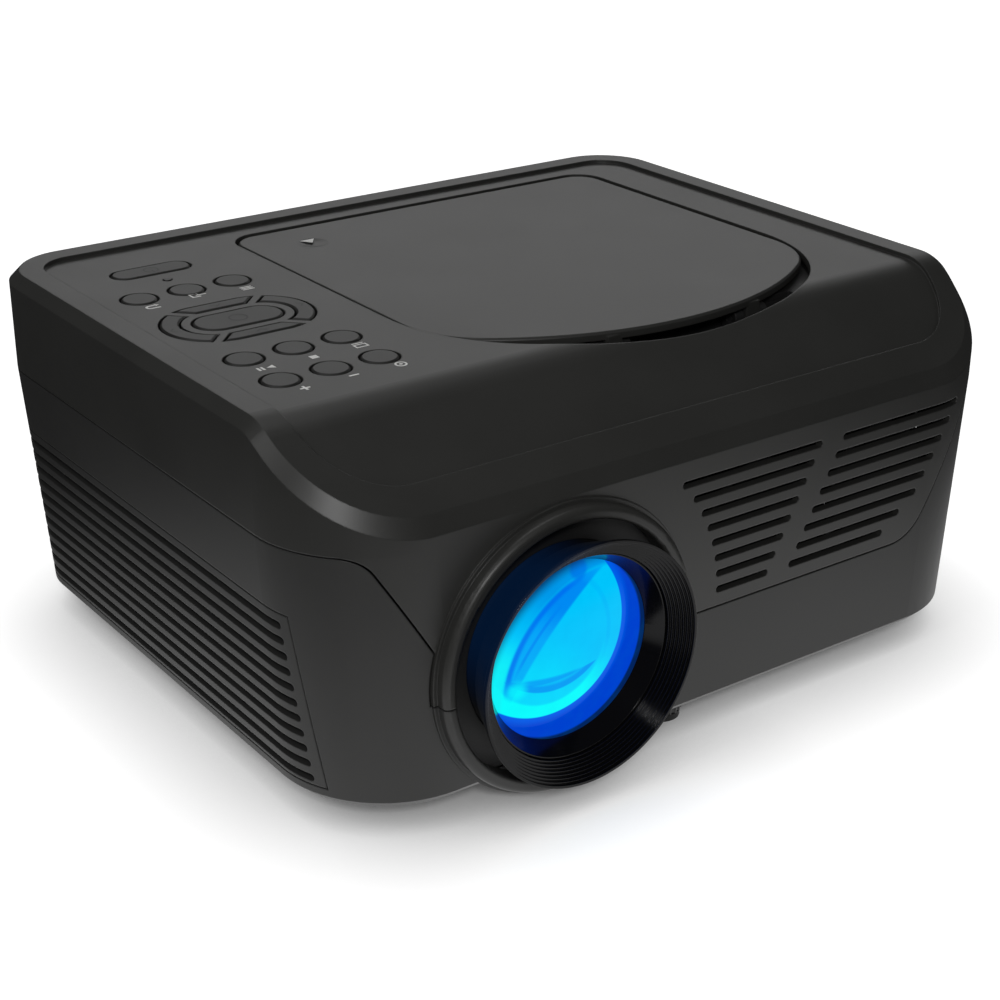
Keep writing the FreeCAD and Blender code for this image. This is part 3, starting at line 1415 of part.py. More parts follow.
def speaker_unit(x):
    loop = [(speaker.ring, 0), (speaker.rim, 0), (speaker.rim, speaker.ring_deep),
            (speaker.back, speaker.ring_deep + speaker.dust_deep), (speaker.back, speaker.depth),
            (0, speaker.depth), (0, speaker.dust_deep), (speaker.dust, speaker.dust_deep)]
    return turned(loop, x, front + wall, speaker.z, "y", "Speaker")


piece("main_board", main_board())
piece("power_board", power_board())
piece("port_hdmi", socket(port.hdmi_left, port.hdmi_right, port.hdmi_rise, jack.usb_shelf))
piece("port_usb", socket(port.usb_left, port.usb_right, port.usb_rise, jack.usb_shelf))
piece("av_jacks", av_jacks())
piece("power_inlet", power_inlet())
piece("speakers", group(speaker_unit(speaker.left), speaker_unit(speaker.right)))


# ---------------------------------------------------------------- screws and feet

def case_screw(x, y):
    return fuse(rod(screw.head, floor_top + screw.sink - fit_gap - screw.low, x, y, screw.low),
                rod(screw.shank, screw.length, x, y, floor_top))


def foot_screw():
    """Knurled wheel on a threaded stem."""
    wheel = rod(foot.wheel, ground_gap - fit_gap - foot.wheel_low, foot.x, foot_y, foot.wheel_low)
    stem = rod(foot.shaft, boss_top - ground_gap, foot.x, foot_y, ground_gap - over)
    notches = [rod(foot.notch, ground_gap, foot.x + foot.wheel * cosine(360 / notch_count * number),
                   foot_y + foot.wheel * sine(360 / notch_count * number), 0)
               for number in range(notch_count)]
    socket_hole = rod(foot.pin + running_gap, foot.pin_top + fit_gap, foot.x, foot_y, 0)
    return cut(fuse(cut(wheel, group(*notches)), stem), socket_hole)


notch_count = 20
piece("case_screws", group(*[case_screw(x, y) for x, y in post_spots]))
piece("foot_screw", foot_screw())
piece("foot_pad", fuse(rod(foot.pad, foot.pad_thick, foot.x, foot_y, 0),
                       rod(foot.pin, foot.pin_top, foot.x, foot_y, 0)))
piece("rear_feet", group(*[rod(rear_foot.radius, rear_foot.height, side * rear_foot_x, rear_foot_y, 0)
                           for side in (-1, 1)]))


# ---------------------------------------------------------------- checks and export

doc.recompute()
for item in doc.Objects:
    if "Invalid" in item.State or "Error" in item.State:
        raise RuntimeError(f"{item.Label} did not compute: {item.State}")
for item in pieces:
    if item.Shape.isNull() or not item.Shape.isValid() or not item.Shape.Solids:
        raise RuntimeError(f"{item.Label} has no sound solid")

os.makedirs("parts", exist_ok=True)
for item in pieces:
    item.Shape.exportStep(f"parts/{item.Label}.step")
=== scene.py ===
import math

import bpy
import numpy as np
from mathutils import Matrix, Vector


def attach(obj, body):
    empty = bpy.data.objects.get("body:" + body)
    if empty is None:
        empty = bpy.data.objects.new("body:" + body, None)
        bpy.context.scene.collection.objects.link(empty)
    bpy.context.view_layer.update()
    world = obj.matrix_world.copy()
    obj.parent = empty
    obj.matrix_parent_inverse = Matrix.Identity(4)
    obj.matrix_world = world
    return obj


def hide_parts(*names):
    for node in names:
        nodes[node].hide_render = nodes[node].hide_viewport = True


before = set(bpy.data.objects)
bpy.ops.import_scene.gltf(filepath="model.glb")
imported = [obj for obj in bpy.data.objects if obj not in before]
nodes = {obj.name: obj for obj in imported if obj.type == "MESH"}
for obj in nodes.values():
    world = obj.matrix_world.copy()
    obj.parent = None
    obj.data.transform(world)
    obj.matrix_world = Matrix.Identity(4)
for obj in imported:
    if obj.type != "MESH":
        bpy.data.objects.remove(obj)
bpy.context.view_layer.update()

mm = 0.001
print("stage: frame loaded,", len(nodes), "nodes")

# short ways to place nodes


def plug(tree, value, socket):
    if hasattr(value, "links"):
        tree.links.new(value, socket)
    else:
        socket.default_value = value


def maths(tree, operation, first, second=0.0, third=None):
    node = tree.nodes.new("ShaderNodeMath")
    node.operation = operation
    plug(tree, first, node.inputs[0])
    plug(tree, second, node.inputs[1])
    if third is not None:
        plug(tree, third, node.inputs[2])
    return node.outputs[0]


def fade(tree, value, start, stop, low=0.0, high=1.0):
    # smooth change from low to high while the value goes from start to stop
    node = tree.nodes.new("ShaderNodeMapRange")
    node.interpolation_type = "SMOOTHSTEP"
    for label, number in (("From Min", start), ("From Max", stop), ("To Min", low), ("To Max", high)):
        plug(tree, number, node.inputs[label])
    plug(tree, value, node.inputs["Value"])
    return node.outputs["Result"]


def distance(tree, point, middle):
    node = tree.nodes.new("ShaderNodeVectorMath")
    node.operation = "DISTANCE"
    plug(tree, point, node.inputs[0])
    plug(tree, middle, node.inputs[1])
    return node.outputs["Value"]


def noise(tree, point, scale, detail=2.0, roughness=0.5):
    node = tree.nodes.new("ShaderNodeTexNoise")
    node.inputs["Detail"].default_value = detail
    node.inputs["Roughness"].default_value = roughness
    plug(tree, point, node.inputs["Vector"])
    plug(tree, scale, node.inputs["Scale"])
    return node.outputs["Fac"]


def blend(tree, amount, first, second):
    node = tree.nodes.new("ShaderNodeMix")
    node.data_type = "RGBA"
    plug(tree, amount, node.inputs["Factor"])
    for value, label in ((first, "A"), (second, "B")):
        socket = [item for item in node.inputs if item.name == label and item.type == "RGBA"][0]
        plug(tree, (*value, 1) if isinstance(value, tuple) and len(value) == 3 else value, socket)
    return [item for item in node.outputs if item.type == "RGBA"][0]


# camera, floor and lights

cameraSetup = {
    "place": (-0.33604, -0.45521, 0.29307),
    "yaw": 36.074,        # degrees from straight behind towards the right
    "pitch": 24.160,      # degrees below level
    "roll": 0.276,
    "lens": 70.9,
    "sensor": 36,
}


def makeCamera(setup):
    yaw, pitch, roll = (math.radians(setup[name]) for name in ("yaw", "pitch", "roll"))
    ahead = Vector((math.sin(yaw) * math.cos(pitch), math.cos(yaw) * math.cos(pitch), -math.sin(pitch)))
    right = Vector((math.cos(yaw), -math.sin(yaw), 0))
    up = right.cross(ahead)
    turnedRight = math.cos(roll) * right + math.sin(roll) * up
    turnedUp = -math.sin(roll) * right + math.cos(roll) * up
    data = bpy.data.cameras.new("camera")
    data.lens = setup["lens"]
    data.sensor_width = setup["sensor"]
    camera = bpy.data.objects.new("camera", data)
    turn = Matrix((turnedRight, turnedUp, -ahead)).transposed().to_4x4()
    camera.matrix_world = Matrix.Translation(setup["place"]) @ turn
    bpy.context.scene.collection.objects.link(camera)
    bpy.context.scene.camera = camera


lampSetup = {
    # name: (place, aim, width, height, watts)
    "backSoftbox": ((0.95, 1.25, 0.78), (0.0, 0.0, 0.1), 1.5, 0.55, 3.1),
    "leftSoftbox": ((-0.86, -0.02, 0.8), (-0.1, -0.05, 0.1), 0.4, 0.4, 1.5),
    "overheadSoftbox": ((0.05, 0.35, 1.3), (0.0, 0.0, 0.1), 0.8, 0.5, 2.0),
    "barrelGlint": ((-0.51, -0.77, 0.63), (-0.05, -0.1, 0.03), 0.14, 0.14, 3.5),
}


def makeLamp(name, place, aim, width, height, watts):
    data = bpy.data.lights.new(name, "AREA")
    data.shape = "RECTANGLE"
    data.size = width
    data.size_y = height
    data.energy = watts
    lamp = bpy.data.objects.new(name, data)
    look = Vector(aim) - Vector(place)
    lamp.matrix_world = Matrix.Translation(place) @ look.to_track_quat("-Z", "Y").to_matrix().to_4x4()
    bpy.context.scene.collection.objects.link(lamp)


surroundings = 0.06   # soft level of light from all round


def makeWorld(strength):
    world = bpy.data.worlds.new("studio")
    bpy.context.scene.world = world
    world.use_nodes = True
    tree = world.node_tree
    background = tree.nodes["Background"]
    background.inputs["Color"].default_value = (1, 1, 1, 1)
    path = tree.nodes.new("ShaderNodeLightPath")
    seen = tree.nodes.new("ShaderNodeMath")
    seen.operation = "MULTIPLY_ADD"  # white to the camera, a soft level to everything else
    tree.links.new(path.outputs["Is Camera Ray"], seen.inputs[0])
    seen.inputs[1].default_value = 1 - strength
    seen.inputs[2].default_value = strength
    tree.links.new(seen.outputs[0], background.inputs["Strength"])


floorSetup = {
    "reach": 3.0,
    "colour": (0.45, 0.45, 0.45, 1),
    "seen": 1.0,           # glow where the camera sees the floor, before the contact shadow
    "shadowReach": 0.05,   # how far the contact shadow spreads
    "shadowSamples": 16,
    "dimmed": 0.75,        # share of the lamp light on the floor that reflections leave out
    "mirrored": 1.0,       # glow in reflections, strongest around the middle below
    "middle": (0.0, -0.07, 0.0),
    "near": 0.12,          # distance from that middle where the glow starts to fade
    "far": 0.3,
}


def makeFloor(setup):
    # flat square with one white material; its glow in reflections fades with distance from a middle
    mesh = bpy.data.meshes.new("floor")
    reach = setup["reach"]
    mesh.from_pydata([(-reach, -reach, 0), (reach, -reach, 0), (reach, reach, 0), (-reach, reach, 0)], [],
                     [(0, 1, 2, 3)])
    floor = bpy.data.objects.new("floor", mesh)
    bpy.context.scene.collection.objects.link(floor)
    material = bpy.data.materials.new("paleFloor")
    material.use_nodes = True
    tree = material.node_tree
    tree.nodes.clear()
    out = tree.nodes.new("ShaderNodeOutputMaterial")
    diffuse = tree.nodes.new("ShaderNodeBsdfDiffuse")
    coordinate = tree.nodes.new("ShaderNodeTexCoord")
    away = distance(tree, coordinate.outputs["Object"], setup["middle"])
    mirrored = fade(tree, away, setup["near"], setup["far"], setup["mirrored"], 0.0)
    clear = tree.nodes.new("ShaderNodeAmbientOcclusion")
    clear.samples = setup["shadowSamples"]
    clear.inputs["Distance"].default_value = setup["shadowReach"]
    path = tree.nodes.new("ShaderNodeLightPath")
    colour = blend(tree, maths(tree, "MULTIPLY", path.outputs["Is Glossy Ray"], setup["dimmed"]),
                   setup["colour"], (0.0, 0.0, 0.0, 1))
    tree.links.new(colour, diffuse.inputs["Color"])
    lit = maths(tree, "MULTIPLY", clear.outputs["AO"], setup["seen"])
    toCamera = maths(tree, "MULTIPLY", path.outputs["Is Camera Ray"], lit)
    toMirror = maths(tree, "MULTIPLY", path.outputs["Is Glossy Ray"], mirrored)
    glow = tree.nodes.new("ShaderNodeEmission")
    tree.links.new(maths(tree, "ADD", toCamera, toMirror), glow.inputs["Strength"])
    both = tree.nodes.new("ShaderNodeAddShader")
    tree.links.new(diffuse.outputs[0], both.inputs[0])
    tree.links.new(glow.outputs[0], both.inputs[1])
    tree.links.new(both.outputs[0], out.inputs["Surface"])
    mesh.materials.append(material)


bpy.context.scene.view_settings.view_transform = "Standard"
makeCamera(cameraSetup)
for name, values in lampSetup.items():
    makeLamp(name, *values)
makeWorld(surroundings)
makeFloor(floorSetup)
print("stage: camera, lights and floor")

# shader groups


def newGroup(name, inputs, outputs):
    group = bpy.data.node_groups.new(name, "ShaderNodeTree")
    for label, kind, value in inputs:
        socket = group.interface.new_socket(name=label, in_out="INPUT", socket_type=kind)
        socket.default_value = value
    for label, kind in outputs:
        group.interface.new_socket(name=label, in_out="OUTPUT", socket_type=kind)
    return group, group.nodes.new("NodeGroupInput"), group.nodes.new("NodeGroupOutput")


mouldedSetup = {
    "cloud": 35.0,              # scale of the slow change of tone and gloss
    "cloudTone": (0.94, 1.06),
    "speck": 900.0,             # scale of the dust
    "speckTone": (0.2, 0.2, 0.19),
    "bevelSamples": 6,
    "grainDepth": 0.0001,
}


def makeMouldedGroup(setup):
    # moulded plastic: fine pebbled grain, slow cloudy change of tone and gloss, faint dust, rounded edges
    group, given, out = newGroup(
        "mouldedSurface",
        [("Tone", "NodeSocketColor", (0.05, 0.05, 0.05, 1)), ("Gloss Spread", "NodeSocketFloat", 0.06),
         ("Roughness", "NodeSocketFloat", 0.5), ("Grain Scale", "NodeSocketFloat", 2500.0),
         ("Grain Height", "NodeSocketFloat", 0.12), ("Edge Round", "NodeSocketFloat", 0.0005),
         ("Dust", "NodeSocketFloat", 0.0)],
        [("Color", "NodeSocketColor"), ("Roughness", "NodeSocketFloat"), ("Normal", "NodeSocketVector")])
    point = group.nodes.new("ShaderNodeTexCoord").outputs["Object"]
    grain = noise(group, point, given.outputs["Grain Scale"])
    cloud = noise(group, point, setup["cloud"], 4.0)
    shade = group.nodes.new("ShaderNodeVectorMath")
    shade.operation = "SCALE"
    plug(group, given.outputs["Tone"], shade.inputs[0])
    plug(group, fade(group, cloud, 0.3, 0.7, *setup["cloudTone"]), shade.inputs["Scale"])
    specks = fade(group, noise(group, point, setup["speck"]), 0.70, 0.78)
    dusty = maths(group, "MULTIPLY", specks, given.outputs["Dust"])
    plug(group, blend(group, dusty, shade.outputs[0], setup["speckTone"]), out.inputs["Color"])
    centred = maths(group, "SUBTRACT", cloud, 0.5)
    spread = maths(group, "MULTIPLY_ADD", centred, given.outputs["Gloss Spread"], given.outputs["Roughness"])
    plug(group, spread, out.inputs["Roughness"])
    bevel = group.nodes.new("ShaderNodeBevel")
    bevel.samples = setup["bevelSamples"]
    plug(group, given.outputs["Edge Round"], bevel.inputs["Radius"])
    bump = group.nodes.new("ShaderNodeBump")
    bump.inputs["Distance"].default_value = setup["grainDepth"]
    plug(group, given.outputs["Grain Height"], bump.inputs["Strength"])
    plug(group, grain, bump.inputs["Height"])
    plug(group, bevel.outputs["Normal"], bump.inputs["Normal"])
    plug(group, bump.outputs["Normal"], out.inputs["Normal"])
    return group


moulded = makeMouldedGroup(mouldedSetup)

# the glow of the lit optics painted on the front glass as emission, with painted shade at its upper left
# edge
lensPicture = {
    "ground": (0.001, 0.016, 0.10),
    "layers": [
        # colour, amount and circles: to the right and up from the lens axis in millimetres,
        # radius, softness, and the side of the circle that is coloured
        ((0, 0.052, 0.62), 1.0, [(-2.2, 1.6, 26.2, 0.5, "in")]),
        ((0, 0.12, 0.84), 0.9, [(-8.4, 8.4, 26.4, 1.8, "in")]),
        ((0, 0.56, 0.97), 1.0, [(-8.4, 8.4, 24.6, 0.25, "in")]),
        ((0, 0.98, 0.98), 1.0, [(-8.4, 8.4, 24.6, 0.25, "in"),
                                (-22, -24, 34, 9, "in"), (-8.1, 5.9, 18.1, 0.8, "out")]),
        ((0, 0.72, 0.98), 0.8, [(-8.1, 5.9, 18.1, 0.6, "in"), (-18, -20, 24, 8, "in")]),
        ((0, 0.47, 0.95), 0.5, [(-8.1, 5.9, 19.9, 0.5, "in"),
                                (-8.1, 5.9, 18.5, 0.5, "out"), (20, 18, 22, 8, "in")]),
        ((0, 0.2, 0.9), 0.5, [(8.5, -8.4, 30.5, 0.5, "in"),
                              (34.9, -32.2, 59.4, 0.5, "out"), (-8.1, 5.9, 18.5, 1, "in")]),
        ((0, 0.17, 0.87), 0.6, [(8.5, -8.4, 30.5, 0.5, "in"),
                                (34.9, -32.2, 59.4, 0.5, "out"), (-1, 21, 12, 6, "in")]),
        ((0, 0.14, 0.86), 0.75, [(8.5, -8.4, 30.8, 0.5, "in"),
                                 (8.5, -8.4, 29.2, 0.6, "out"), (-8, 6, 17, 3, "in")]),
        ((0, 0.16, 0.87), 0.5, [(20, -20, 43.5, 0.3, "in"),
                                (20, -20, 42.6, 0.3, "out"), (-12, 7, 9, 4, "in")]),
        ((0, 0.23, 0.76), 0.75, [(8.5, -8.4, 30.8, 0.8, "out"),
                                 (2, 30, 22, 9, "in"), (-8.4, 8.4, 24.6, 0.3, "in")]),
        ((0.004, 0.9, 0.93), 0.85, [(8.5, -8.4, 31, 0.7, "out"),
                                    (-30, -8, 17, 6, "in"), (-8.4, 8.4, 24.6, 0.3, "in")]),
        ((0, 0.36, 0.93), 0.55, [(-7, 12, 20.6, 0.3, "in"), (-5, 60, 64.6, 0.2, "out")]),
        ((0, 0.24, 0.89), 0.6, [(-7, 12, 20.6, 0.3, "in"),
                                (-7, 14, 20.6, 0.5, "out"), (-5, 60, 64.6, 0.2, "out")]),
        ((0, 0.26, 0.9), 0.5, [(-9, 40, 45.8, 0.25, "in"),
                               (-5, 60, 64.2, 0.3, "out"), (-8, -4, 8, 3, "in")]),
        ((0, 0.95, 0.98), 0.7, [(-18.4, -6.0, 2.6, 1.6, "in")]),
        ((0, 0.17, 0.8), 0.75, [(2.2, 23.6, 2.8, 0.8, "in")]),
        # painted shade fading the upper left edge of the glass
        ((0.002, 0.02, 0.085), 1.0, [(6, -8, 33, 2.2, "out")]),
    ],
}


lensAxis = (-49.9, 0.0, 43.0)   # millimetres


def lensPoint(tree):
    # millimetres from the lens axis, flattened onto the plane across it
    coordinate = tree.nodes.new("ShaderNodeTexCoord")
    flat = tree.nodes.new("ShaderNodeVectorMath")
    flat.operation = "MULTIPLY_ADD"
    plug(tree, coordinate.outputs["Object"], flat.inputs[0])
    flat.inputs[1].default_value = (1000, 0, 1000)
    flat.inputs[2].default_value = [-value for value in lensAxis]
    return flat.outputs[0]


def makeLensGroup(picture):
    # painted light: the glow of the lit optics seen through the front glass, painted as layers of colour
    # bounded by circles, with painted shade at the upper left
    group, given, out = newGroup("lensPicture", [("Haze", "NodeSocketFloat", 0.03)],
                                 [("Color", "NodeSocketColor"), ("Rim", "NodeSocketFloat")])
    point = lensPoint(group)
    ripple = noise(group, point, 0.22, 3.0)
    colour = (*picture["ground"], 1)
    for tone, amount, circles in picture["layers"]:
        mask = amount
        for right, up, radius, soft, side in circles:
            away = distance(group, point, (right, 0, up))
            ends = (radius + soft, radius - soft) if side == "in" else (radius - soft, radius + soft)
            mask = maths(group, "MULTIPLY", mask, fade(group, away, *ends))
        colour = blend(group, mask, colour, tone)
    # painted glow: a faint cloudy blue haze over the picture
    shade = maths(group, "MULTIPLY", fade(group, ripple, 0.35, 0.7), given.outputs["Haze"])
    plug(group, blend(group, shade, colour, (0, 0.2, 0.6)), out.inputs["Color"])
    plug(group, fade(group, distance(group, point, (0, 0, 0)), 24.5, 26.4), out.inputs["Rim"])
    return group


def makeMetalGroup():
    # drawn or stamped metal: long fine scratches along one axis and a slow change of shade
    group, given, out = newGroup(
        "workedMetal",
        [("Tone", "NodeSocketColor", (0.5, 0.5, 0.5, 1)), ("Roughness", "NodeSocketFloat", 0.35),
         ("Stretch", "NodeSocketVector", (60, 2500, 2500))],
        [("Color", "NodeSocketColor"), ("Roughness", "NodeSocketFloat"), ("Height", "NodeSocketFloat")])
    point = group.nodes.new("ShaderNodeTexCoord").outputs["Object"]
    along = group.nodes.new("ShaderNodeVectorMath")
    along.operation = "MULTIPLY"
    plug(group, point, along.inputs[0])
    plug(group, given.outputs["Stretch"], along.inputs[1])
    lines = noise(group, along.outputs[0], 1.0, 3.0)
    shade = group.nodes.new("ShaderNodeVectorMath")
    shade.operation = "SCALE"
    plug(group, given.outputs["Tone"], shade.inputs[0])
    plug(group, fade(group, noise(group, point, 60.0, 3.0), 0.3, 0.7, 0.85, 1.1), shade.inputs["Scale"])
    plug(group, shade.outputs[0], out.inputs["Color"])
    scratched = maths(group, "MULTIPLY_ADD", lines, 0.2, given.outputs["Roughness"])
    plug(group, scratched, out.inputs["Roughness"])
    plug(group, lines, out.inputs["Height"])
    return group


lensGroup = makeLensGroup(lensPicture)
workedMetal = makeMetalGroup()
print("stage: shader groups")

# materials


def newMaterial(name, group, values, sockets):
    # one Principled shader fed by a group; the values go on the group's inputs, the sockets on the shader
    material = bpy.data.materials.new(name)
    material.use_nodes = True
    tree = material.node_tree
    shader = tree.nodes["Principled BSDF"]
    surface = tree.nodes.new("ShaderNodeGroup")
    surface.node_tree = group
    for label, value in values.items():
        surface.inputs[label].default_value = (*value, 1) if label == "Tone" else value
    for label, value in sockets.items():
        shader.inputs[label].default_value = value
    return material, tree, shader, surface


def plastic(name, tone, roughness, grain=2500.0, height=0.12, edge=0.0005, spread=0.06, dust=0.0,
            specular=0.5):
    values = {"Tone": tone, "Roughness": roughness, "Gloss Spread": spread, "Grain Scale": grain,
              "Grain Height": height, "Edge Round": edge, "Dust": dust}
    material, tree, shader, surface = newMaterial(name, moulded, values, {"Specular IOR Level": specular})
    for label, target in (("Color", "Base Color"), ("Roughness", "Roughness"), ("Normal", "Normal")):
        tree.links.new(surface.outputs[label], shader.inputs[target])
    return material


def metal(name, tone, roughness, stretch=(60, 2500, 2500)):
    material, tree, shader, surface = newMaterial(
        name, workedMetal, {"Tone": tone, "Roughness": roughness, "Stretch": stretch}, {"Metallic": 1.0})
    bump = tree.nodes.new("ShaderNodeBump")
    bump.inputs["Distance"].default_value = 0.00005
    bump.inputs["Strength"].default_value = 0.3
    tree.links.new(surface.outputs["Color"], shader.inputs["Base Color"])
    tree.links.new(surface.outputs["Roughness"], shader.inputs["Roughness"])
    tree.links.new(surface.outputs["Height"], bump.inputs["Height"])
    tree.links.new(bump.outputs["Normal"], shader.inputs["Normal"])
    return material


def litGlass(name):
    material, tree, shader, surface = newMaterial(
        name, lensGroup, {"Haze": 0.05},
        {"Base Color": (0.0, 0.004, 0.02, 1), "Specular IOR Level": 0.03, "Emission Strength": 1.0})
    # the painted glow of the lit optics goes to the emission
    tree.links.new(surface.outputs["Color"], shader.inputs["Emission Color"])
    tree.links.new(fade(tree, surface.outputs["Rim"], 0.0, 1.0, 0.04, 0.3), shader.inputs["Roughness"])
    return material


def clearGlass(name, tint):
    # moulded optics: clear with a faint swirl in the gloss
    material = bpy.data.materials.new(name)
    material.use_nodes = True
    tree = material.node_tree
    shader = tree.nodes["Principled BSDF"]
    shader.inputs["Base Color"].default_value = (*tint, 1)
    shader.inputs["Transmission Weight"].default_value = 0.9
    shader.inputs["IOR"].default_value = 1.49
    point = tree.nodes.new("ShaderNodeTexCoord").outputs["Object"]
    tree.links.new(fade(tree, noise(tree, point, 120.0), 0.3, 0.7, 0.02, 0.08), shader.inputs["Roughness"])
    return material


def circuitBoard(name, mask, copper):
    # solder mask with a grid of tracks, soldered pads and a fine weave
    material = bpy.data.materials.new(name)
    material.use_nodes = True
    tree = material.node_tree
    shader = tree.nodes["Principled BSDF"]
    point = tree.nodes.new("ShaderNodeTexCoord").outputs["Object"]
    tracks = tree.nodes.new("ShaderNodeTexBrick")
    tracks.inputs["Scale"].default_value = 160.0
    tracks.inputs["Mortar Size"].default_value = 0.035
    tracks.inputs["Color1"].default_value = (*mask, 1)
    tracks.inputs["Color2"].default_value = (*[value * 0.8 for value in mask], 1)
    tracks.inputs["Mortar"].default_value = (*[value * 1.9 for value in mask], 1)
    tree.links.new(point, tracks.inputs["Vector"])
    pads = tree.nodes.new("ShaderNodeTexVoronoi")
    pads.inputs["Scale"].default_value = 330.0
    pads.inputs["Randomness"].default_value = 0.35
    tree.links.new(point, pads.inputs["Vector"])
    solder = fade(tree, pads.outputs["Distance"], 0.24, 0.18)
    tree.links.new(blend(tree, solder, tracks.outputs["Color"], copper), shader.inputs["Base Color"])
    tree.links.new(maths(tree, "MULTIPLY", solder, 0.9), shader.inputs["Metallic"])
    tree.links.new(fade(tree, noise(tree, point, 400.0), 0.3, 0.7, 0.3, 0.42), shader.inputs["Roughness"])
    return material


# painted glow of the lens light on the barrel's upper left flank
barrelGlow = {
    "middle": (-24, 0, 22),   # millimetres from the lens axis
    "edge": 34.0,             # distance from that middle where the glow ends
    "core": 10.0,
}


def barrelPlastic(name, tone, glow, roughness):
    # glossy black with a painted glow: the blue light of the lens painted as emission on its upper left
    # flank
    material = plastic(name, tone, roughness, height=0.02, edge=0.00025, spread=0.05, specular=0.2)
    tree = material.node_tree
    shader = tree.nodes["Principled BSDF"]
    point = lensPoint(tree)
    away = distance(tree, point, barrelGlow["middle"])
    upperLeft = fade(tree, away, barrelGlow["edge"], barrelGlow["core"])
    tree.links.new(blend(tree, upperLeft, (0, 0, 0), glow), shader.inputs["Emission Color"])
    shader.inputs["Emission Strength"].default_value = 1.0
    return material


materialSetup = {
    # name: (tone, roughness, further values)
    "charcoalTop": ((0.030, 0.030, 0.028), 0.42, {"dust": 0.04}),
    "charcoalBase": ((0.028, 0.028, 0.027), 0.5, {"dust": 0.04}),
    "keyCaps": ((0.019, 0.019, 0.018), 0.46, {"edge": 0.0003}),
    "trayBlack": ((0.012, 0.012, 0.012), 0.55, {}),
    "smokedLamp": ((0.02, 0.02, 0.02), 0.4, {"height": 0.0, "specular": 0.3}),
    "blackRubber": ((0.015, 0.015, 0.015), 0.75, {"grain": 1400.0, "height": 0.3, "specular": 0.3}),
    "socketPlastic": ((0.02, 0.02, 0.02), 0.38, {"edge": 0.0003}),
    "printPale": ((0.85, 0.85, 0.83), 0.55, {"grain": 4000.0, "height": 0.05, "edge": 0.0}),
    # dark of the cap signs: print and the painted shade of their pressed grooves
    "printAndShadeDark": ((0.008, 0.008, 0.008), 0.5, {"grain": 4000.0, "height": 0.05, "edge": 0.0}),
    # also used for the dark sheet of painted shade behind the front slots
    "speakerAndShadeBlack": ((0.010, 0.010, 0.010), 0.8, {"grain": 1800.0, "height": 0.4}),
}
materials = {name: plastic(name, tone, roughness, **more)
             for name, (tone, roughness, more) in materialSetup.items()}
# the third value is the colour of the painted blue glow
materials["barrelBlack"] = barrelPlastic("barrelBlack", (0.004, 0.004, 0.0045), (0.0, 0.006, 0.024), 0.13)
materials["litGlass"] = litGlass("litGlass")
materials["clearGlass"] = clearGlass("clearGlass", (0.8, 0.9, 1.0))
materials["plainSteel"] = metal("plainSteel", (0.52, 0.52, 0.53), 0.28)
materials["sinkMetal"] = metal("sinkMetal", (0.42, 0.42, 0.44), 0.35, (2500, 60, 2500))
materials["boardGreen"] = circuitBoard("boardGreen", (0.012, 0.07, 0.03), (0.6, 0.55, 0.45))

keyNames = [name for name in nodes if name.startswith("key_") and name != "key_board"]
finishes = {
    "charcoalTop": ["upper_case", "disc_lid"],
    "charcoalBase": ["lower_case", "side_grille_left", "side_grille_right"],
    "keyCaps": keyNames,
    "trayBlack": ["disc_tray", "disc_bowl", "latch_body", "latch_plunger", "engine_housing", "fan_frame",
                  "fan_rotor", "lens_sleeve", "turntable", "pickup_sled"],
    "speakerAndShadeBlack": ["speakers"],
    "smokedLamp": ["indicator_lens", "lcd_panel"],
    "blackRubber": ["deck_dampers", "rear_feet", "foot_pad"],
    "socketPlastic": ["foot_screw", "av_jacks", "power_inlet"],
    "barrelBlack": ["focus_ring", "lens_retainer"],
    "clearGlass": ["rear_lens", "field_lenses", "pickup_lens"],
    "litGlass": ["front_lens"],
    "plainSteel": ["hinge_pins", "deck_chassis", "deck_screws", "guide_rods", "lead_screw", "case_screws",
                   "spindle_motor", "sled_motor", "port_hdmi", "port_usb"],
    "sinkMetal": ["heat_sink"],
    "boardGreen": ["key_board", "main_board", "power_board", "led_board"],
}
for name, members in finishes.items():
    for member in members:
        mesh = nodes[member].data
        mesh.materials.clear()
        mesh.materials.append(materials[name])
missing = [name for name in nodes if not nodes[name].data.materials]
print("stage: materials,", len(missing), "nodes without one", missing)

# pieces


def addPiece(name, points, faces, material, body, smooth=True):
    mesh = bpy.data.meshes.new(name)
    mesh.from_pydata(np.asarray(points, float).tolist(), [], [list(face) for face in faces])
    mesh.materials.append(materials[material])
    mesh.update()
    piece = bpy.data.objects.new(name, mesh)
    bpy.context.scene.collection.objects.link(piece)
    if smooth:
        mesh.polygons.foreach_set("use_smooth", np.ones(len(mesh.polygons), bool))
    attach(piece, body)
    return piece


def gridFaces(rows, columns, wrap):
    # quads between neighbouring rows and columns of a grid of points, joined round when wrapped
    across = columns if wrap else columns - 1
    row, column = np.meshgrid(np.arange(rows - 1), np.arange(across), indexing="ij")
    following = (column + 1) % columns
    corners = [row * columns + column, (row + 1) * columns + column, (row + 1) * columns + following,
               row * columns + following]
    return np.stack(corners, axis=-1).reshape(-1, 4)


frontGlass = {
    "radius": 26.6,      # millimetres
    "apex": -97.5,       # front of the dome
    "shoulder": -93.5,   # edge of the dome
    "back": -91.0,
    "edgeRound": 0.3,
    "rings": 36,
    "steps": 144,
}


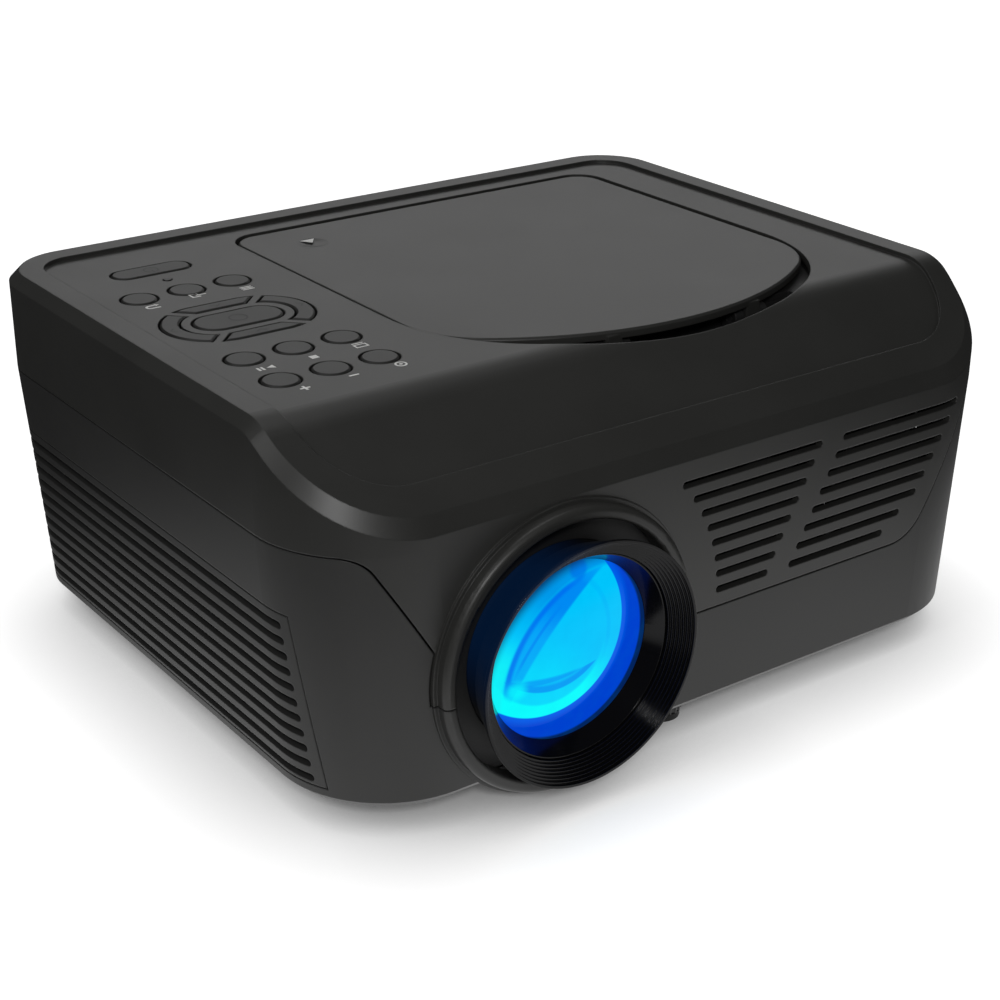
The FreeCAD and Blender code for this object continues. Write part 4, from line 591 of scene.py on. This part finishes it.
def makeFrontGlass(shape):
    # dome: depth = sphere radius minus the root of (sphere radius squared minus radius squared), turned
    # about the lens axis, then a short straight edge and a flat back; both poles are single points
    radius, sag = shape["radius"], shape["shoulder"] - shape["apex"]
    sphere = (radius ** 2 + sag ** 2) / (2 * sag)
    out = np.linspace(0, 1, shape["rings"])[1:] * (radius - shape["edgeRound"])
    depth = shape["apex"] + sphere - np.sqrt(sphere ** 2 - out ** 2)
    out = np.concatenate([out, [radius, radius, radius - shape["edgeRound"]]])
    edge = [shape["shoulder"] + shape["edgeRound"], shape["back"] - shape["edgeRound"], shape["back"]]
    depth = np.concatenate([depth, edge])
    angle = np.arange(shape["steps"]) / shape["steps"] * 2 * np.pi
    x = lensAxis[0] + out[:, None] * np.cos(angle)
    z = lensAxis[2] + out[:, None] * np.sin(angle)
    y = np.repeat(depth[:, None], shape["steps"], axis=1)
    points = np.stack([x, y, z], axis=-1).reshape(-1, 3)
    front, back = (lensAxis[0], shape["apex"], lensAxis[2]), (lensAxis[0], shape["back"], lensAxis[2])
    points = np.concatenate([points, [front, back]]) * mm
    count, steps = len(out), shape["steps"]
    around, following = np.arange(steps), (np.arange(steps) + 1) % steps
    faces = gridFaces(count, steps, True).tolist()
    frontPole = np.full(steps, count * steps)
    faces += np.stack([around, following, frontPole], axis=-1).tolist()
    last = (count - 1) * steps
    backPole = np.full(steps, count * steps + 1)
    faces += np.stack([backPole, last + following, last + around], axis=-1).tolist()
    glass = addPiece("frontGlass", points, faces, "litGlass", "lens_cell")
    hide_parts("front_lens")


makeFrontGlass(frontGlass)
print("stage: front glass")

printed = {
    "thickness": 0.03,   # millimetres above the surface
    "line": 0.75,        # width of a drawn line
    "panel": 111.8,
    "lid": 111.4,
    "caps": 112.05,
}


signPlaces = {
    # name: middle of the sign, millimetres
    "return": (-99.8, 38.7),
    "source": (-84.1, 41.0),
    "menu": (-69.2, 38.5),
    "play": (-98.5, -23.9),
    "stop": (-83.7, -23.9),
    "title": (-68.6, -23.0),
    "plus": (-97.6, -42.6),
    "minus": (-82.3, -41.8),
    "setup": (-67.7, -41.9),
    "open": (-28.8, 70.4),
    "power": (-84.6, 70.2),
    "ok": (-84.6, 16),
    "up": (-84.6, 29),
    "down": (-84.6, 3),
    "left": (-105, 16),
    "right": (-64.2, 16),
}


def ribbon(path, width, level, closed=False):
    # flat line of even width: each point of the path moved half the width along the mean of its two normals
    path = np.asarray(path, float)
    ahead = np.roll(path, -1, axis=0) - path
    if not closed:
        ahead[-1] = ahead[-2]
    back = np.roll(ahead, 1, axis=0)
    if not closed:
        back[0] = ahead[0]
    ahead /= np.linalg.norm(ahead, axis=1, keepdims=True)
    back /= np.linalg.norm(back, axis=1, keepdims=True)
    mean = ahead + back
    mean /= np.linalg.norm(mean, axis=1, keepdims=True)
    stretch = width / 2 / np.clip((mean * ahead).sum(axis=1), 0.4, 1)
    side = np.stack([-mean[:, 1], mean[:, 0]], axis=1) * stretch[:, None]
    points = np.stack([path - side, path + side], axis=1).reshape(-1, 2)
    faces = gridFaces(len(path), 2, False)
    if closed:
        last = 2 * (len(path) - 1)
        faces = np.concatenate([faces, [[last, 0, 1, last + 1]]])
    return np.column_stack([points, np.full(len(points), level)]), faces


def patch(outline, level):
    # filled flat shape of a convex outline
    points = np.column_stack([outline, np.full(len(outline), level)])
    return points, [list(range(len(outline)))]


def arc(x, y, radius, start, stop, steps=24):
    angle = np.radians(np.linspace(start, stop, steps))
    return np.stack([x + radius * np.cos(angle), y + radius * np.sin(angle)], axis=1)


def placed(path, middle):
    # a sign drawn about its middle and turned half round, so that it reads from behind the case
    return np.asarray(middle, float) - np.asarray(path, float)


def joinShapes(shapes):
    points, faces, start = [], [], 0
    for some, theirs in shapes:
        points.append(some)
        faces += [[int(corner) + start for corner in face] for face in theirs]
        start += len(some)
    return np.concatenate(points) * mm, faces


def makeMarks(setup, at):
    top, line = setup["panel"] + setup["thickness"], setup["line"]
    square = [(-1, -1), (1, -1), (1, 1), (-1, 1)]
    triangle = [(-1, -1.1), (1, 0), (-1, 1.1)]
    signs = [
        # return: a bent arrow
        ribbon(placed(np.concatenate([[(-2.0, 1.1)], arc(0.8, 0.0, 1.1, 90, -90, 12), [(-1.2, -1.1)]]),
                       at["return"]), line, top),
        patch(placed([(-1.1, -2.0), (-1.1, -0.2), (-2.5, -1.1)], at["return"]), top),
        # source: an arrow into a frame
        ribbon(placed([(-0.4, 1.4), (2.2, 1.4), (2.2, -1.4), (-0.4, -1.4)], at["source"]), line * 0.8, top),
        ribbon(placed([(-2.6, 0), (-0.2, 0)], at["source"]), line * 0.8, top),
        patch(placed([(-0.4, -0.8), (0.9, 0), (-0.4, 0.8)], at["source"]), top),
        # menu: three bars
        *[ribbon(placed([(-1.9, height), (1.9, height)], at["menu"]), line * 0.8, top)
          for height in (-1.1, 0, 1.1)],
        # play and pause
        patch(placed(np.array(triangle) * 1.15 + (-1.4, 0), at["play"]), top),
        *[ribbon(placed([(place, -1.2), (place, 1.2)], at["play"]), line, top) for place in (0.9, 2.1)],
        # stop
        patch(placed(np.array(square) * 1.15, at["stop"]), top),
        # title: a frame with a line under it
        ribbon(placed([(-1.8, -0.5), (1.8, -0.5), (1.8, 1.5), (-1.8, 1.5)], at["title"]),
               line * 0.7, top, True),
        ribbon(placed([(-1.8, -1.6), (1.8, -1.6)], at["title"]), line * 0.7, top),
        # plus and minus
        ribbon(placed([(-1.5, 0), (1.5, 0)], at["plus"]), line, top),
        ribbon(placed([(0, -1.5), (0, -line / 2)], at["plus"]), line, top),
        ribbon(placed([(0, line / 2), (0, 1.5)], at["plus"]), line, top),
        ribbon(placed([(-1.5, 0), (1.5, 0)], at["minus"]), line, top),
        # setup: a ring and a dot
        ribbon(placed(arc(0, 0, 1.5, 0, 345, 24), at["setup"]), line * 0.8, top, True),
        patch(placed(arc(0, 0, 0.55, 0, 330, 12), at["setup"]), top),
    ]
    points, faces = joinShapes(signs)
    addPiece("panelMarks", points, faces, "printPale", "case", smooth=False)
    lidLevel = setup["lid"] + setup["thickness"]
    opener = patch(placed([(-2.6, -1.5), (2.6, -1.5), (0, 2.2)], at["open"]), lidLevel)
    points, faces = joinShapes([opener])
    addPiece("openMark", points, faces, "printPale", "lid", smooth=False)


makeMarks(printed, signPlaces)


def makeCapMarks(setup, at):
    # signs pressed into the caps, drawn as flat marks in a darker tone: the dark is print together with the
    # painted shade of their grooves
    level, line = setup["caps"] + setup["thickness"], setup["line"] * 0.7
    signs = {
        "key_power": [ribbon(placed(arc(0, 0, 2.2, 120, 420, 30), at["power"]), line, level),
                      ribbon(placed([(0, 0.6), (0, 2.9)], at["power"]), line, level)],
        "key_ok": [ribbon(placed(arc(0, 0, 2.6, 0, 350, 36), at["ok"]), line, level, True)],
        "key_up": [ribbon(placed([(-1.6, -0.7), (0, 0.7), (1.6, -0.7)], at["up"]), line, level)],
        "key_down": [ribbon(placed([(-1.6, 0.7), (0, -0.7), (1.6, 0.7)], at["down"]), line, level)],
        "key_left": [ribbon(placed([(-0.7, -1.6), (0.7, 0), (-0.7, 1.6)], at["left"]), line, level)],
        "key_right": [ribbon(placed([(0.7, -1.6), (-0.7, 0), (0.7, 1.6)], at["right"]), line, level)],
    }
    for node, shapes in signs.items():
        points, faces = joinShapes(shapes)
        addPiece(node.replace("key_", "") + "Mark", points, faces, "printAndShadeDark", node + "_body",
                 smooth=False)


makeCapMarks(printed, signPlaces)
print("stage: printed marks")

# painted shade: a dark sheet behind the front slots
ventShadeSheet = {
    "corner": (90.0, -58.5),   # middle of the rounded front corner, millimetres
    "radius": 28.2,            # behind the wall and its lip
    "turn": 52.0,              # degrees round the corner
    "steps": 18,
    "beside": 86.4,            # starts beside the right-hand speaker
    "between": (38.4, 49.6),   # strip between the speakers
    "full": (0.0, 102.6),      # sheet behind both speakers
    "behind": -66.3,
    "up": (44.0, 81.5),
    "pitch": 1.3,              # of the pressed ribs
    "rise": 0.12,
    "thickness": 0.3,
}


def makeShadeSheet(shape):
    # dark sheet behind the front slots, painted shade that keeps them black: a path straight along the wall
    # and round its corner, carried up,
    # with its depth moved in and out by a sine of the height
    across, deep = shape["corner"]
    angle = np.radians(np.linspace(0, shape["turn"], shape["steps"]))
    radius = shape["radius"]
    bend = np.stack([across + radius * np.sin(angle), deep - radius * np.cos(angle)], axis=1)
    corner = np.concatenate([[(shape["beside"], deep - radius)], bend])
    strip = np.array([(place, deep - radius) for place in shape["between"]])
    count = 4 * int((shape["up"][1] - shape["up"][0]) / shape["pitch"])
    height = np.linspace(*shape["up"], count)
    behind = np.array([(place, shape["behind"]) for place in shape["full"]])
    for name, path in (("ventShadeSheetCorner", corner), ("ventShadeSheetStrip", strip), ("ventShadeSheetBack", behind)):
        ahead = np.gradient(path, axis=0)
        ahead /= np.linalg.norm(ahead, axis=1, keepdims=True)
        inward = np.stack([-ahead[:, 1], ahead[:, 0]], axis=1)
        wave = shape["rise"] * np.sin(height / shape["pitch"] * 2 * np.pi)
        flat = path[:, None, :] + inward[:, None, :] * wave[None, :, None]
        rise = np.broadcast_to(height[None, :, None], (*flat.shape[:2], 1))
        points = np.concatenate([flat, rise], axis=2).reshape(-1, 3) * mm
        faces = gridFaces(len(path), count, False)
        shadeSheet = addPiece(name, points, faces, "speakerAndShadeBlack", "case")
        wall = shadeSheet.modifiers.new("thickness", "SOLIDIFY")
        wall.thickness = shape["thickness"] * mm
        wall.offset = 0


makeShadeSheet(ventShadeSheet)
print("stage: vent gauze")
